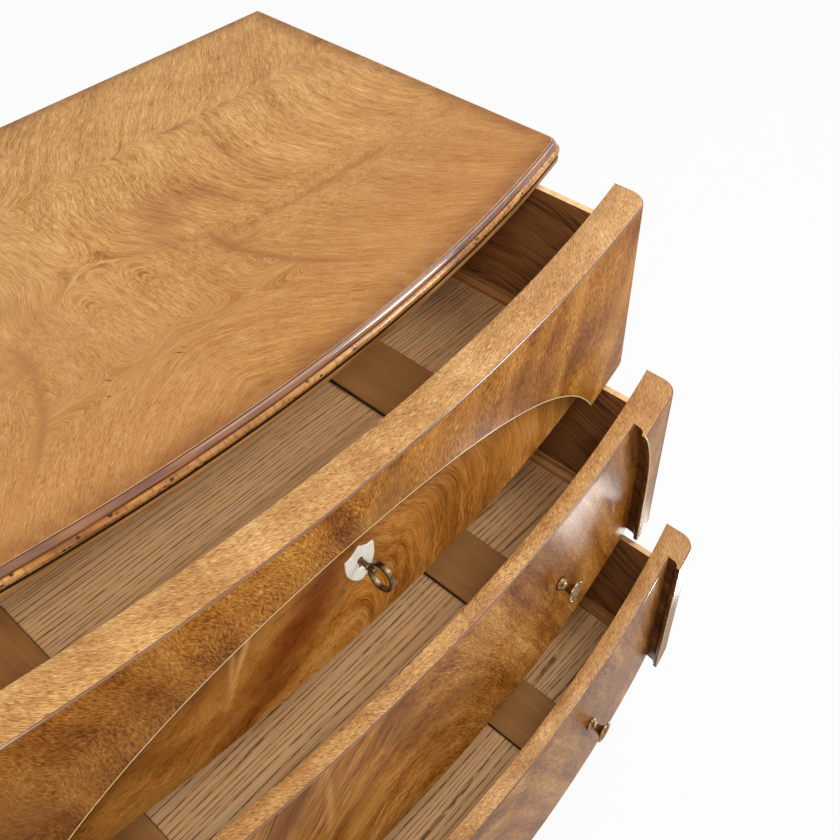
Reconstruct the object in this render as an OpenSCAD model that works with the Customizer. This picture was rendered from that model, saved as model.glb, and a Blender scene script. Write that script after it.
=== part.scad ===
// Bow-fronted nightstand with three drawers. An arched recess with a hollow
// moulding is cut across the three drawer fronts. The drawers stand open by
// different amounts, as in the photograph: the top one least, the bottom most.
// Every piece is drawn with y = 0 at the back edge of the top, the front
// towards -y, and z = 0 on the floor. The whole is then centred over its footprint.

/* [Case] */
// Width over the side panels
case_w = 696; // [640:1:760]
// Depth from the back edge of the top to the case's front, at the middle
case_d = 375; // [330:1:440]
// Thickness of the side panels
side_t = 20; // [14:1:26]
// Width of the front posts
post_w = 35.5; // [30:0.5:50]
// Thickness of the back panel
back_t = 5; // [3:0.5:8]
// Thickness of the bottom board
bottom_t = 12; // [9:1:18]
// Depth of the front posts and of the rails between the drawers
rail_d = 61; // [40:1:80]
// How far a runner reaches in under the drawer's side
ledge_w = 16; // [10:1:24]
// Height of the guide above the runner's ledge
guide_h = 22; // [12:1:40]

/* [Top] */
// How far the top reaches past each side panel
top_over = 4; // [2:0.5:12]
// Thickness of the veneered top board
top_t = 11.5; // [9:0.5:20]
// Thickness of the board under it, whose edge shows as a thin strip
sub_t = 6; // [4:0.5:12]
// Width of the moulding round the front and sides of the top
edge_w = 6.5; // [4:0.5:9]
// Radius of the bow along the front edge of the top
top_bow_r = 1341; // [1200:1:1800]
// Radius of the front corners of the top, seen from above
top_corner_r = 16; // [12:1:24]

/* [Base] */
// Height of the plinth
plinth_h = 58; // [40:1:90]
// Thickness of the plinth's bowed front
plinth_t = 42; // [34:1:50]
// Thickness of the plinth's sides
plinth_side_t = 24; // [16:1:30]
// Thickness of the plinth's back
plinth_back_t = 20; // [14:1:26]
// Rise of the shallow curve under the plinth's front
plinth_rise = 14; // [0:1:24]
// Height of the block feet
foot_h = 53; // [30:1:90]
// Width of a foot where it meets the plinth
foot_w = 48; // [36:1:54]
// Width of a foot at the floor
foot_toe_w = 36; // [26:1:48]
// Thickness of the glide under each foot
glide_t = 3; // [2:0.5:6]

/* [Drawer fronts] */
// How far a drawer front reaches past each side panel
front_over = 2.3; // [1:0.1:6]
// Height of the top drawer's front
front_h_top = 167; // [140:1:220]
// Height of the middle drawer's front
front_h_middle = 174.5; // [140:0.5:220]
// Height of the bottom drawer's front
front_h_bottom = 175; // [140:1:220]
// Gap between one front and the next
front_gap = 3; // [2:0.5:6]
// Thickness of the fronts at the middle
front_t = 28.7; // [26:0.1:36]
// Radius of the bow on the back of the fronts
front_back_r = 1544; // [1300:1:1900]
// Radius of the bow on the face of the fronts
front_face_r = 1693; // [1400:1:2100]
// Rounding of the fronts' outer ends, seen from above
front_end_r = 18; // [12:1:22]

/* [Arched recess] */
// Thickness that is left behind the recess, at the middle
recess_t = 14.7; // [12:0.1:18]
// Radius of the bow on the face of the recess
recess_r = 1637; // [1400:1:2100]
// Distance from the end of a front to the recess's upright edge
arch_margin = 39.3; // [30:0.1:90]
// Height of the arch from where it springs to its crown
arch_rise = 232; // [160:1:280]
// Distance from the top of the upper front down to the crown
arch_drop = 42.5; // [30:0.5:60]
// Roundness of the arch: 2 is an ellipse, more is squarer
arch_power = 2.08; // [1.8:0.01:2.6]
// Depth of the square lip along the edge of the recess
lip_d = 4.3; // [2:0.1:6]
// Depth of the hollow behind the lip
hollow_d = 5.3; // [3:0.1:7]
// How far the hollow is cut in under the lip
hollow_w = 5.6; // [3:0.1:8]

/* [Drawer boxes] */
// Length of the drawer's sides, back from the front's middle
box_d = 360; // [300:1:400]
// Thickness of the drawer's sides
box_side_t = 6; // [5:0.5:12]
// Thickness of the drawer's back
box_back_t = 8; // [6:0.5:12]
// Thickness of the bottom panels
panel_t = 8; // [5:0.5:10]
// Height of the panels' upper face above the lower edge of the sides
panel_lift = 26; // [18:1:40]
// Width of the two bars that part the bottom panels
muntin_w = 60; // [30:1:80]
// Distance from the middle to the middle of the right-hand bar between the bottom panels
muntin_x = 158; // [120:1:200]
// Distance from the middle to the middle of the left-hand bar
muntin_left_x = 199; // [120:1:220]
// How far the bars stand above the panels
muntin_rise = 3.5; // [1:0.5:6]
// Width of the slip along the foot of each side
slip_w = 10; // [6:0.5:16]
// Height of the slip above the panels
slip_rise = 8; // [4:0.5:14]

/* [Drawers' places] */
// How far the top drawer stands open
open_top = 84; // [0:1:240]
// How far the middle drawer stands open
open_middle = 139; // [0:1:240]
// How far the bottom drawer stands open
open_bottom = 188; // [0:1:240]
// Clearance between a drawer's side and what guides it
side_clear = 1; // [0.5:0.1:2]
// Clearance under the drawer's sides
run_clear = 0.3; // [0.3:0.1:1]
// Clearance above the drawer's sides
lift_clear = 2.5; // [1.5:0.1:4]

/* [Knobs] */
// Distance from the middle of a front to its knobs
knob_x = 172; // [120:1:240]
// Length of a knob
knob_l = 16; // [12:0.5:24]
// Radius of the knob's flared head
knob_head_r = 10.3; // [8:0.1:14]
// Radius of the knob's foot
knob_foot_r = 6.4; // [5:0.1:9]
// Radius of the knob's neck
knob_neck_r = 3.6; // [3.4:0.1:5]
// Radius of the screw that holds a knob
screw_r = 2; // [1.5:0.1:2.5]

/* [Lock] */
// Share of the upper front's height that is above the keyhole
key_share = 0.521; // [0.45:0.001:0.6]
// Half the width of the bone shield round the keyhole
shield_half_w = 12.9; // [10:0.1:18]
// Height of the shield
shield_h = 35.7; // [28:0.1:46]
// Thickness of the shield
shield_t = 1.2; // [0.8:0.1:2]
// Radius of the key's shank
shank_r = 2; // [1.6:0.1:2.6]
// Length of shank between the shield and the key's bow
shank_out = 9.2; // [6:0.5:16]
// Outer radius of the key's ring-shaped bow
ring_r = 10.9; // [9:0.1:14]
// Width of the band of the ring
ring_band = 4.3; // [2.2:0.1:5]
// Thickness of the band of the ring
ring_t = 2; // [2:0.1:4]
// How far the key stands turned from upright, in degrees
key_turn = 7; // [0:1:40]
// Thickness of the lock's case on the back of the front
lock_t = 12; // [10:0.5:16]
// Half the width of the lock's case
lock_half_w = 21; // [18:1:30]
// Width of the bolt
bolt_w = 12; // [8:0.5:16]
// Thickness of the bolt
bolt_t = 4; // [3:0.5:5]

/* [Hidden] */

// Colours
mahogany = [0.72, 0.47, 0.22];
burnished = [0.45, 0.26, 0.12];
oak = [0.62, 0.49, 0.34];
walnut = [0.30, 0.18, 0.11];
antique_brass = [0.55, 0.44, 0.26];
bone = [0.93, 0.90, 0.82];
felt = [0.20, 0.18, 0.16];

// Cylinders on the bow are large, so they get many sides
bow_fn = 480;
small_fn = 48;
corner_steps = 8;
bow_steps = 36;
arch_steps = 40;

// Heights, from the floor up
plinth_z = glide_t + foot_h;
case_z = plinth_z + plinth_h;
front_z_bottom = case_z + front_gap;
front_z_middle = front_z_bottom + front_h_bottom + front_gap;
front_z_top = front_z_middle + front_h_middle + front_gap;
sub_z = front_z_top + front_h_top + lift_clear;
top_z = sub_z + sub_t;
height = top_z + top_t;

// Widths that follow the case's
top_w = case_w + 2 * top_over;
front_w = case_w + 2 * front_over;
box_w = case_w - 2 * post_w - 2 * side_clear;
arch_half_w = front_w / 2 - arch_margin;

// Places across and along the case
case_front_y = -case_d;
closed_y = case_front_y - side_clear;
inner_x = case_w / 2 - side_t;
guide_x = case_w / 2 - post_w;
post_back_y = case_front_y + rail_d;
side_in = 2;
back_y = -side_in - back_t - 1;
rebate = 8;
spread = 0.02;

// The drawer box: its lower edge, its height and its floor
side_drop = 1;
divider_t = 16;
function box_low(front_z) = front_z + divider_t - front_gap + run_clear + lift_clear - side_drop;
function box_high(front_z, front_h) = front_z + front_h - side_drop;
function floor_z(front_z) = box_low(front_z) + panel_lift;

// The bow: how far an arc of radius r falls back from its middle at x
function sag(r, x) = r - sqrt(r * r - x * x);

// Front to back size of the whole, out to the rims of the lowest knobs
knob_tilt = asin(knob_x / recess_r);
knob_seat_y = closed_y - recess_t + sag(recess_r, knob_x);
reach = -knob_seat_y + open_bottom + knob_l * cos(knob_tilt) + knob_head_r * sin(knob_tilt);

// Height of the key and the sizes of the lock
key_z = front_z_top + front_h_top * (1 - key_share);
lock_wall = 1.5;
lock_low = 24;
lock_high = 26;
bit_r = 8;
bit_t = 2;
bit_w = 5;
bolt_gap = 0.4;
bolt_drop = 8.5;
bolt_top = front_z_top + front_h_top - bolt_drop;
bolt_y = closed_y + lock_wall + 1;

// A slab that follows the bow: face_r and back_r are the radii of its two
// curved sides, and t its thickness at the middle. Its back is at y = 0 there.
module bowed_slab(w, h, t, face_r, back_r, end_r) {
    cx = w / 2 - end_r;
    centre_y = face_r - t;
    cy = centre_y - sqrt(pow(face_r - end_r, 2) - cx * cx);
    turn = asin(cx / (face_r - end_r));
    difference() {
        intersection() {
            translate([0, centre_y, 0])
                cylinder(r = face_r, h = h, $fn = bow_fn);
            translate([-w / 2, -t - 1, 0])
                cube([w, t + 1 + sag(face_r, w / 2) + t, h]);
        }
        translate([0, back_r, -1])
            cylinder(r = back_r, h = h + 2, $fn = bow_fn);
        for (side = [-1, 1])
            translate([side * cx, cy, -1])
                difference() {
                    linear_extrude(h + 2)
                        polygon([
                            [0, 0],
                            [side * sin(turn), -cos(turn)] * 3 * end_r,
                            [side * 3 * end_r, -3 * end_r],
                            [side * 3 * end_r, 0]
                        ]);
                    translate([0, 0, -1])
                        cylinder(r = end_r, h = h + 4, $fn = small_fn * 2);
                }
    }
}

// Everything on the case's side of the bow, for cutting pieces to it
module behind_bow(y, r, z, h) {
    translate([0, y + r, z])
        cylinder(r = r, h = h, $fn = bow_fn);
}

// Points round the front of the top, drawn in by inset from the outline of
// half-width half_w, from the back right corner to the back left one
function top_outline(half_w, face_y, inset) =
    let (
        r = top_corner_r,
        cx = half_w - r,
        cy = face_y + top_bow_r - sqrt(pow(top_bow_r - r, 2) - cx * cx),
        turn = asin(cx / (top_bow_r - r)),
        right = [
            for (i = [0:corner_steps])
                let (a = -i * (90 - turn) / corner_steps)
                [cx + (r - inset) * cos(a), cy + (r - inset) * sin(a)]
        ],
        front = [
            for (i = [1:bow_steps - 1])
                let (a = turn - 2 * turn * i / bow_steps)
                [
                    (top_bow_r - inset) * sin(a),
                    face_y + top_bow_r - (top_bow_r - inset) * cos(a)
                ]
        ],
        n = len(right)
    )
    concat(
        [[half_w - inset, 0]], right, front,
        [for (i = [0:n - 1]) [-right[n - 1 - i][0], right[n - 1 - i][1]]],
        [[-half_w + inset, 0]]
    );

// A board with a moulded edge: stations are [inset, z] from the upper face down
module moulded_board(half_w, face_y, stations) {
    rings = [for (s = stations) [for (p = top_outline(half_w, face_y, s[0])) [p[0], p[1], s[1]]]];
    n = len(rings[0]);
    m = len(stations);
    polyhedron(
        points = [for (ring = rings) each ring],
        faces = concat(
            [[for (i = [0:n - 1]) i]],
            [
                for (j = [0:m - 2], i = [0:n - 1], k = [0:1])
                    let (a = j * n + i, b = j * n + (i + 1) % n)
                    k == 0 ? [a, a + n, b] : [b, a + n, b + n]
            ],
            [[for (i = [0:n - 1]) (m - 1) * n + n - 1 - i]]
        )
    );
}

// Centre of the front edge of the top, level with the closed drawer fronts
top_face_y = closed_y - front_t - 9.7;

module top_board() {
    quirk = 0.8;
    ovolo_w = edge_w - quirk - 0.5;
    ovolo_h = 5.8;
    ovolo_z = height - quirk - 0.3;
    steps = 6;
    color(mahogany)
        moulded_board(top_w / 2, top_face_y, concat(
            [[edge_w, height], [edge_w, height - quirk]],
            [
                for (i = [0:steps])
                    let (a = 90 - 90 * i / steps)
                    [
                        0.5 + ovolo_w * (1 - cos(a)),
                        ovolo_z - ovolo_h * (1 - sin(a))
                    ]
            ],
            [
                [0, ovolo_z - ovolo_h - 0.4],
                [0, top_z + 1.8],
                [0.5, top_z + 0.8],
                [1.6, top_z]
            ]
        ));
}

module sub_top() {
    slot_w = bolt_w + 2;
    slot_d = bolt_t + 3;
    color(burnished)
        difference() {
            moulded_board(top_w / 2, top_face_y, [
                [2.6, top_z],
                [1.1, top_z - 1.2],
                [0.8, top_z - 2],
                [0.8, sub_z + 1],
                [1.8, sub_z]
            ]);
            translate([-slot_w / 2, bolt_y - 1.5, sub_z - 1])
                cube([slot_w, slot_d, sub_t + 2]);
        }
}

module side_panel(side) {
    color(mahogany)
        difference() {
            translate([side > 0 ? inner_x : -inner_x - side_t, post_back_y, case_z])
                cube([side_t, -side_in - post_back_y, sub_z - case_z]);
            translate([side > 0 ? inner_x - 1 : -inner_x - rebate, back_y, case_z - 1])
                cube([rebate + 1, back_t + 10, sub_z - case_z + 2]);
        }
}

module back_panel() {
    color(oak)
        translate([-inner_x - rebate, back_y, case_z])
            cube([2 * (inner_x + rebate), back_t, sub_z - case_z]);
}

// Front post: its face follows the bow, and the drawer fronts close over it
module post(side) {
    color(mahogany)
        intersection() {
            translate([side > 0 ? guide_x : -guide_x - post_w, case_front_y, case_z])
                cube([post_w, rail_d, sub_z - case_z]);
            behind_bow(case_front_y, front_back_r, case_z - 1, sub_z - case_z + 2);
        }
}

// Rail between two drawers, above the drawer whose front starts at front_z
module rail(front_z) {
    z = box_low(front_z) - run_clear - divider_t;
    color(mahogany)
        intersection() {
            translate([-guide_x, case_front_y, z])
                cube([2 * guide_x, rail_d, divider_t]);
            behind_bow(case_front_y, front_back_r, z - 1, divider_t + 2);
        }
}

// Bottom board: narrower between the posts, and wider behind them
module bottom_board() {
    color(oak)
        intersection() {
            union() {
                translate([-guide_x, case_front_y, case_z])
                    cube([2 * guide_x, rail_d + 10, bottom_t]);
                translate([-inner_x, post_back_y, case_z])
                    cube([2 * inner_x, back_y - post_back_y, bottom_t]);
            }
            behind_bow(case_front_y, front_back_r, case_z - 1, bottom_t + 2);
        }
}

// Runner: a ledge under the drawer's side with a guide beside it, as one piece
module runner(side, front_z, ledge_t) {
    top = box_low(front_z) - run_clear;
    l = back_y - post_back_y;
    color(oak)
        mirror([side > 0 ? 0 : 1, 0, 0]) {
            translate([guide_x - ledge_w, post_back_y, top - ledge_t])
                cube([inner_x - guide_x + ledge_w, l, ledge_t]);
            translate([guide_x, post_back_y, top - ledge_t])
                cube([inner_x - guide_x, l, ledge_t + guide_h]);
        }
}

module plinth_front() {
    curve_w = front_w - 2 * foot_w - 60;
    curve_r = plinth_rise == 0 ? 1 : (pow(curve_w / 2, 2) + pow(plinth_rise, 2)) / (2 * plinth_rise);
    color(mahogany)
        difference() {
            translate([0, closed_y - front_t - 2 + plinth_t, plinth_z])
                bowed_slab(front_w, plinth_h, plinth_t, front_face_r, front_face_r - plinth_t, front_end_r);
            if (plinth_rise > 0)
                translate([0, 0, plinth_z + plinth_rise - curve_r])
                    rotate([90, 0, 0])
                        cylinder(r = curve_r, h = case_d + 100, $fn = bow_fn);
        }
}

plinth_back_y = closed_y - front_t - 2 + plinth_t;

module plinth_side(side) {
    color(mahogany)
        intersection() {
            translate([side > 0 ? case_w / 2 - plinth_side_t : -case_w / 2, plinth_back_y, plinth_z])
                cube([plinth_side_t, -side_in - plinth_back_y, plinth_h]);
            behind_bow(plinth_back_y, front_face_r - plinth_t, plinth_z - 1, plinth_h + 2);
        }
}

module plinth_back() {
    w = case_w - 2 * plinth_side_t;
    color(mahogany)
        translate([-w / 2, back_y - plinth_back_t, plinth_z])
            cube([w, plinth_back_t, plinth_h]);
}

// A block foot that tapers towards the floor
module foot(x, y) {
    color(burnished)
        translate([x, y, plinth_z])
            mirror([0, 0, 1])
                linear_extrude(foot_h, scale = foot_toe_w / foot_w)
                    square(foot_w, center = true);
}

foot_x = case_w / 2 - foot_w / 2 - 3;
foot_front_y = plinth_back_y + sag(front_face_r, foot_x) - foot_w / 2 + 8;
foot_back_y = -foot_w / 2 - 5;

module glides() {
    color(felt)
        for (x = [-foot_x, foot_x], y = [foot_front_y, foot_back_y])
            translate([x, y, 0])
                cylinder(r = foot_toe_w / 2 - 4, h = glide_t, $fn = small_fn);
}

// The arch seen from the front, as [x, z] with the normal pointing away from
// the recess. It runs from the foot of the left edge over the crown.
spring_z = front_z_top + front_h_top - arch_drop - arch_rise;
function arch_point(a) = [
    -arch_half_w * sign(cos(a)) * pow(abs(cos(a)), 2 / arch_power),
    spring_z + arch_rise * pow(abs(sin(a)), 2 / arch_power)
];
arch_angles = [
    for (i = [0:arch_steps])
        let (s = i / arch_steps)
        180 * (s - 0.35 * sin(360 * s * 2) / 12.57)
];
arch_line = concat(
    [[-arch_half_w, case_z - 30]],
    [for (a = arch_angles) arch_point(a)],
    [[arch_half_w, case_z - 30]]
);

function unit(v) = v / norm(v);
function arch_normal(i) =
    let (
        n = len(arch_line),
        p = arch_line[max(i - 1, 0)],
        q = arch_line[min(i + 1, n - 1)],
        d = unit(q - p)
    )
    i == 0 ? [-1, 0] : i == n - 1 ? [1, 0] : [-d[1], d[0]];

// Profile of the recess's moulding, as [how far under the lip, depth]
hollow_steps = 6;
recess_profile = concat(
    [
        for (i = [0:hollow_steps])
            let (a = 90 - 90 * i / hollow_steps)
            [hollow_w * cos(a), lip_d + hollow_d - hollow_d * sin(a)]
    ],
    [[hollow_w + 0.6, front_t - recess_t + 3]]
);

// The tool that cuts the recess, in a drawer's own frame: y = 0 is the back
// of the front at the middle
module recess_tool() {
    n = len(arch_line);
    m = len(recess_profile) + 2;
    far_y = 60;
    near_y = -front_t - 30;
    function at(i, d) = arch_line[i] + arch_normal(i) * d;
    function face_y(x) = -front_t + sag(front_face_r, x);
    rings = concat(
        [[for (i = [0:n - 1]) let (p = at(i, 0)) [p[0], near_y, p[1]]]],
        [
            for (s = recess_profile)
                [for (i = [0:n - 1]) let (p = at(i, s[0])) [p[0], face_y(p[0]) + s[1], p[1]]]
        ],
        [[for (i = [0:n - 1]) let (p = at(i, hollow_w + 0.6)) [p[0], far_y, p[1]]]]
    );
    difference() {
        polyhedron(
            points = [for (ring = rings) each ring],
            faces = concat(
                [[for (i = [0:n - 1]) i]],
                [
                    for (j = [0:m - 2], i = [0:n - 1], k = [0:1])
                        let (a = j * n + i, b = j * n + (i + 1) % n)
                        k == 0 ? [a, a + n, b] : [b, a + n, b + n]
                ],
                [[for (i = [0:n - 1]) (m - 1) * n + n - 1 - i]]
            )
        );
        translate([0, recess_r - recess_t, case_z - 40])
            cylinder(r = recess_r, h = height, $fn = bow_fn);
    }
}

module drawer_front(front_z, front_h, open) {
    color(mahogany)
        translate([0, closed_y - open, 0])
            difference() {
                translate([0, 0, front_z])
                    bowed_slab(front_w, front_h, front_t, front_face_r, front_back_r, front_end_r);
                recess_tool();
                children();
            }
}

// Pieces of a drawer box are cut to the bow of the front's back
module cut_to_front(open, front_z, front_h) {
    intersection() {
        translate([0, closed_y - open, 0])
            children();
        behind_bow(closed_y - open + spread, front_back_r, front_z - 1, front_h + 2);
    }
}

module box_side(side, front_z, front_h, open) {
    low = box_low(front_z);
    color(oak)
        cut_to_front(open, front_z, front_h)
            translate([side > 0 ? box_w / 2 - box_side_t : -box_w / 2, 0, low])
                cube([box_side_t, box_d, box_high(front_z, front_h) - low]);
}

module box_back(front_z, front_h, open) {
    w = box_w - 2 * box_side_t;
    low = floor_z(front_z);
    color(oak)
        translate([-w / 2, closed_y - open + box_d - box_back_t, low])
            cube([w, box_back_t, box_high(front_z, front_h) - 6 - low]);
}

slip_x = box_w / 2 - box_side_t - slip_w;

// Three bottom panels lie between the slips and the two bars
module panels(front_z, front_h, open) {
    low = floor_z(front_z) - panel_t;
    half = muntin_w / 2;
    spans = [
        [-slip_x, -muntin_left_x - half],
        [-muntin_left_x + half, muntin_x - half],
        [muntin_x + half, slip_x]
    ];
    color(oak)
        for (span = spans)
            cut_to_front(open, front_z, front_h)
                translate([span[0], 0, low])
                    cube([span[1] - span[0], box_d, panel_t]);
}

module muntins(front_z, front_h, open) {
    low = floor_z(front_z) - panel_t;
    color(oak)
        for (x = [-muntin_left_x, muntin_x])
            cut_to_front(open, front_z, front_h)
                translate([x - muntin_w / 2, 0, low])
                    cube([muntin_w, box_d - box_back_t, panel_t + muntin_rise]);
}

// Slip: a strip with a rounded upper edge that carries the bottom panels
module slips(front_z, front_h, open) {
    low = floor_z(front_z) - panel_t;
    h = panel_t + slip_rise;
    r = slip_rise * 0.6;
    color(oak)
        for (side = [0, 1])
            cut_to_front(open, front_z, front_h)
                mirror([side, 0, 0])
                    translate([slip_x, box_d - box_back_t, low])
                        rotate([90, 0, 0])
                            linear_extrude(box_d - box_back_t)
                                difference() {
                                    square([slip_w, h]);
                                    translate([0, h - r])
                                        difference() {
                                            translate([-1, 0])
                                                square([r + 1, r + 1]);
                                            translate([r, 0])
                                                circle(r = r, $fn = small_fn);
                                        }
                                }
}

// Bores for the knobs' screws, square to the face of the recess
module knob_places(front_z, front_h) {
    for (side = [-1, 1])
        translate([0, recess_r - recess_t, front_z + front_h / 2])
            rotate([0, 0, side * knob_tilt])
                translate([0, -recess_r, 0])
                    rotate([90, 0, 0])
                        children();
}

module knob_bores(front_z, front_h) {
    knob_places(front_z, front_h)
        translate([0, 0, -recess_t - 20])
            cylinder(r = screw_r + 0.15, h = recess_t + 30, $fn = small_fn);
}

// Half outline of a knob, from its axis at the foot out to the flared rim
module knob_outline() {
    rim_t = 1.4;
    flare_steps = 10;
    foot_l = 6.4;
    foot_steps = 5;
    flare_l = knob_l - rim_t - foot_l;
    polygon(concat(
        [[0, 0.05], [knob_foot_r - 0.3, 0.05], [knob_foot_r, 0.6], [knob_foot_r, 1.4]],
        [
            for (i = [1:foot_steps])
                let (s = i / foot_steps)
                [
                    knob_neck_r + (knob_foot_r - knob_neck_r) * (1 + cos(180 * s)) / 2,
                    1.4 + (foot_l - 1.4) * s
                ]
        ],
        [
            for (i = [1:flare_steps])
                let (s = i / flare_steps)
                [
                    knob_neck_r + (knob_head_r - knob_neck_r) * (1 - cos(90 * s)),
                    foot_l + flare_l * sin(90 * s)
                ]
        ],
        [
            [knob_head_r, knob_l - rim_t / 2],
            [knob_head_r - 0.6, knob_l],
            [knob_head_r - 1.5, knob_l],
            [knob_head_r - 3, knob_l - 1.4],
            [knob_head_r / 2, knob_l - 2.4],
            [0, knob_l - 2.7]
        ]
    ));
}

module knobs(front_z, front_h, open) {
    color(antique_brass)
        translate([0, closed_y - open, 0])
            knob_places(front_z, front_h)
                difference() {
                    rotate_extrude($fn = small_fn * 2)
                        knob_outline();
                    translate([0, 0, -1])
                        cylinder(r = screw_r + 0.05, h = 8, $fn = small_fn);
                }
}

// Round-headed screws from inside the drawer into the knobs
module knob_screws(front_z, front_h, open) {
    wall = recess_t + sag(front_back_r, knob_x) - sag(recess_r, knob_x);
    color(antique_brass)
        translate([0, closed_y - open, 0])
            knob_places(front_z, front_h)
                translate([0, 0, -wall - 2.6]) {
                    cylinder(r = 4, h = 2.2, $fn = small_fn);
                    cylinder(r = screw_r, h = wall + 2.6 + 6, $fn = small_fn);
                }
}

// The keyhole: a round hole with a slot below it that lets the bit through
module keyhole(grow, l) {
    rotate([-90, 0, 0]) {
        cylinder(r = shank_r + 0.4 + grow, h = l, $fn = small_fn);
        translate([-bit_t / 2 - 0.5 - grow / 2, 0, 0])
            cube([bit_t + 1 + grow, bit_r + 0.7, l]);
    }
}

module lock_cuts() {
    translate([0, -front_t - 5, key_z])
        keyhole(0, front_t + 10);
}

// A shield with a peak between two scooped edges and sides that draw in to a blunt point
module shield_outline() {
    shoulder = 6.5;
    straight = 8;
    steps = 12;
    scoop_steps = 6;
    tip_x = shield_half_w - 0.2;
    tail = shield_h - shoulder - straight;
    scoop = [
        for (i = [1:scoop_steps])
            let (t = i / scoop_steps)
            [tip_x * t, -shoulder * (1 - pow(1 - t, 2.2))]
    ];
    right = [
        for (i = [0:steps])
            let (s = i / steps)
            [
                shield_half_w * pow(1 - s * s, 0.75),
                -shoulder - straight - tail * s
            ]
    ];
    polygon(concat(
        [[0, 0]],
        scoop,
        right,
        [for (i = [steps - 1:-1:0]) [-right[i][0], right[i][1]]],
        [for (i = [scoop_steps - 1:-1:0]) [-scoop[i][0], scoop[i][1]]]
    ));
}

shield_y = closed_y - open_top - recess_t - shield_t;

module shield() {
    color(bone)
        translate([0, shield_y, 0])
            difference() {
                translate([0, shield_t, key_z + 15])
                    rotate([90, 0, 0])
                        linear_extrude(shield_t)
                            shield_outline();
                translate([0, -1, key_z])
                    keyhole(0.4, shield_t + 2);
            }
}

// Key: a shank with a bit inside the lock and a ring for a bow, in one piece
module key() {
    tip = closed_y - open_top + lock_t - lock_wall - 1 - shield_y;
    ring_y = -shank_out - ring_r + ring_t / 2;
    color(antique_brass)
        translate([0, shield_y, key_z])
            rotate([0, key_turn, 0]) {
                translate([0, tip, 0])
                    rotate([90, 0, 0])
                        cylinder(r = shank_r, h = tip + shank_out + ring_t + 2.5, $fn = small_fn);
                translate([-bit_t / 2, tip - bit_w - 1, -bit_r])
                    cube([bit_t, bit_w, bit_r]);
                translate([0, -shank_out + 2.4, 0])
                    rotate([90, 0, 0])
                        cylinder(r = shank_r + 0.8, h = 1.6, $fn = small_fn);
                translate([0, ring_y, 0])
                    rotate([0, 90, 0])
                        rotate_extrude($fn = small_fn * 2)
                            translate([ring_r - ring_t, -ring_band / 2])
                                ring_band_outline();
            }
}

// Section of the ring's band: a flat strap with its outer edges eased
module ring_band_outline() {
    ease = 0.5;
    polygon([
        [0, ease / 2], [ease / 2, 0], [ring_t - ease, 0], [ring_t, ease],
        [ring_t, ring_band - ease], [ring_t - ease, ring_band],
        [ease / 2, ring_band], [0, ring_band - ease / 2]
    ]);
}

// Lock case: a box that is open towards the wood, with room for bolt and bit
module lock_case() {
    y = closed_y - open_top;
    seat = sag(front_back_r, lock_half_w);
    color(antique_brass)
        difference() {
            translate([-lock_half_w, y + seat, key_z - lock_low])
                cube([2 * lock_half_w, lock_t - seat, lock_low + lock_high]);
            translate([-lock_half_w + lock_wall, y - 1, key_z - lock_low + lock_wall])
                cube([
                    2 * (lock_half_w - lock_wall),
                    lock_t - lock_wall + 1,
                    lock_low + lock_high - 2 * lock_wall
                ]);
            translate([-bolt_w / 2 - bolt_gap, bolt_y - open_top - bolt_gap, key_z])
                cube([bolt_w + 2 * bolt_gap, bolt_t + 2 * bolt_gap, lock_high + 10]);
            translate([0, y, key_z])
                rotate([-90, 0, 0])
                    cylinder(r = shank_r + 0.3, h = lock_t + 5, $fn = small_fn);
        }
}

// Bolt: a long flat bar with a notch over the key's shank for the bit
module lock_bolt() {
    low = key_z - 16;
    color(antique_brass)
        translate([0, bolt_y - open_top, 0])
            difference() {
                translate([-bolt_w / 2, 0, low])
                    cube([bolt_w, bolt_t, bolt_top - low]);
                translate([0, -1, key_z])
                    rotate([-90, 0, 0])
                        cylinder(r = bit_r + 1.2, h = bolt_t + 2, $fn = small_fn);
                translate([-bolt_w, -1, low - 1])
                    cube([2 * bolt_w, bolt_t + 2, key_z - low + 1]);
            }
}

module centred() {
    translate([0, reach / 2, 0])
        children();
}

bottom_runner_t = box_low(front_z_bottom) - run_clear - case_z - bottom_t;

centred() top_board();
centred() sub_top();
centred() side_panel(-1);  // side_left
centred() side_panel(1);  // side_right
centred() post(-1);  // post_left
centred() post(1);  // post_right
centred() back_panel();
centred() rail(front_z_top);  // rail_upper
centred() rail(front_z_middle);  // rail_lower
centred() bottom_board();
centred() runner(-1, front_z_top, divider_t);  // runner_top_left
centred() runner(1, front_z_top, divider_t);  // runner_top_right
centred() runner(-1, front_z_middle, divider_t);  // runner_middle_left
centred() runner(1, front_z_middle, divider_t);  // runner_middle_right
centred() runner(-1, front_z_bottom, bottom_runner_t);  // runner_bottom_left
centred() runner(1, front_z_bottom, bottom_runner_t);  // runner_bottom_right
centred() plinth_front();
centred() plinth_side(-1);  // plinth_left
centred() plinth_side(1);  // plinth_right
centred() plinth_back();
centred() foot(-foot_x, foot_front_y);  // foot_front_left
centred() foot(foot_x, foot_front_y);  // foot_front_right
centred() foot(-foot_x, foot_back_y);  // foot_back_left
centred() foot(foot_x, foot_back_y);  // foot_back_right
centred() glides();

centred() drawer_front(front_z_top, front_h_top, open_top) lock_cuts();  // front_top
centred() box_side(-1, front_z_top, front_h_top, open_top);  // box_left_top
centred() box_side(1, front_z_top, front_h_top, open_top);  // box_right_top
centred() box_back(front_z_top, front_h_top, open_top);  // box_back_top
centred() panels(front_z_top, front_h_top, open_top);  // panels_top
centred() muntins(front_z_top, front_h_top, open_top);  // muntins_top
centred() slips(front_z_top, front_h_top, open_top);  // slips_top

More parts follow.
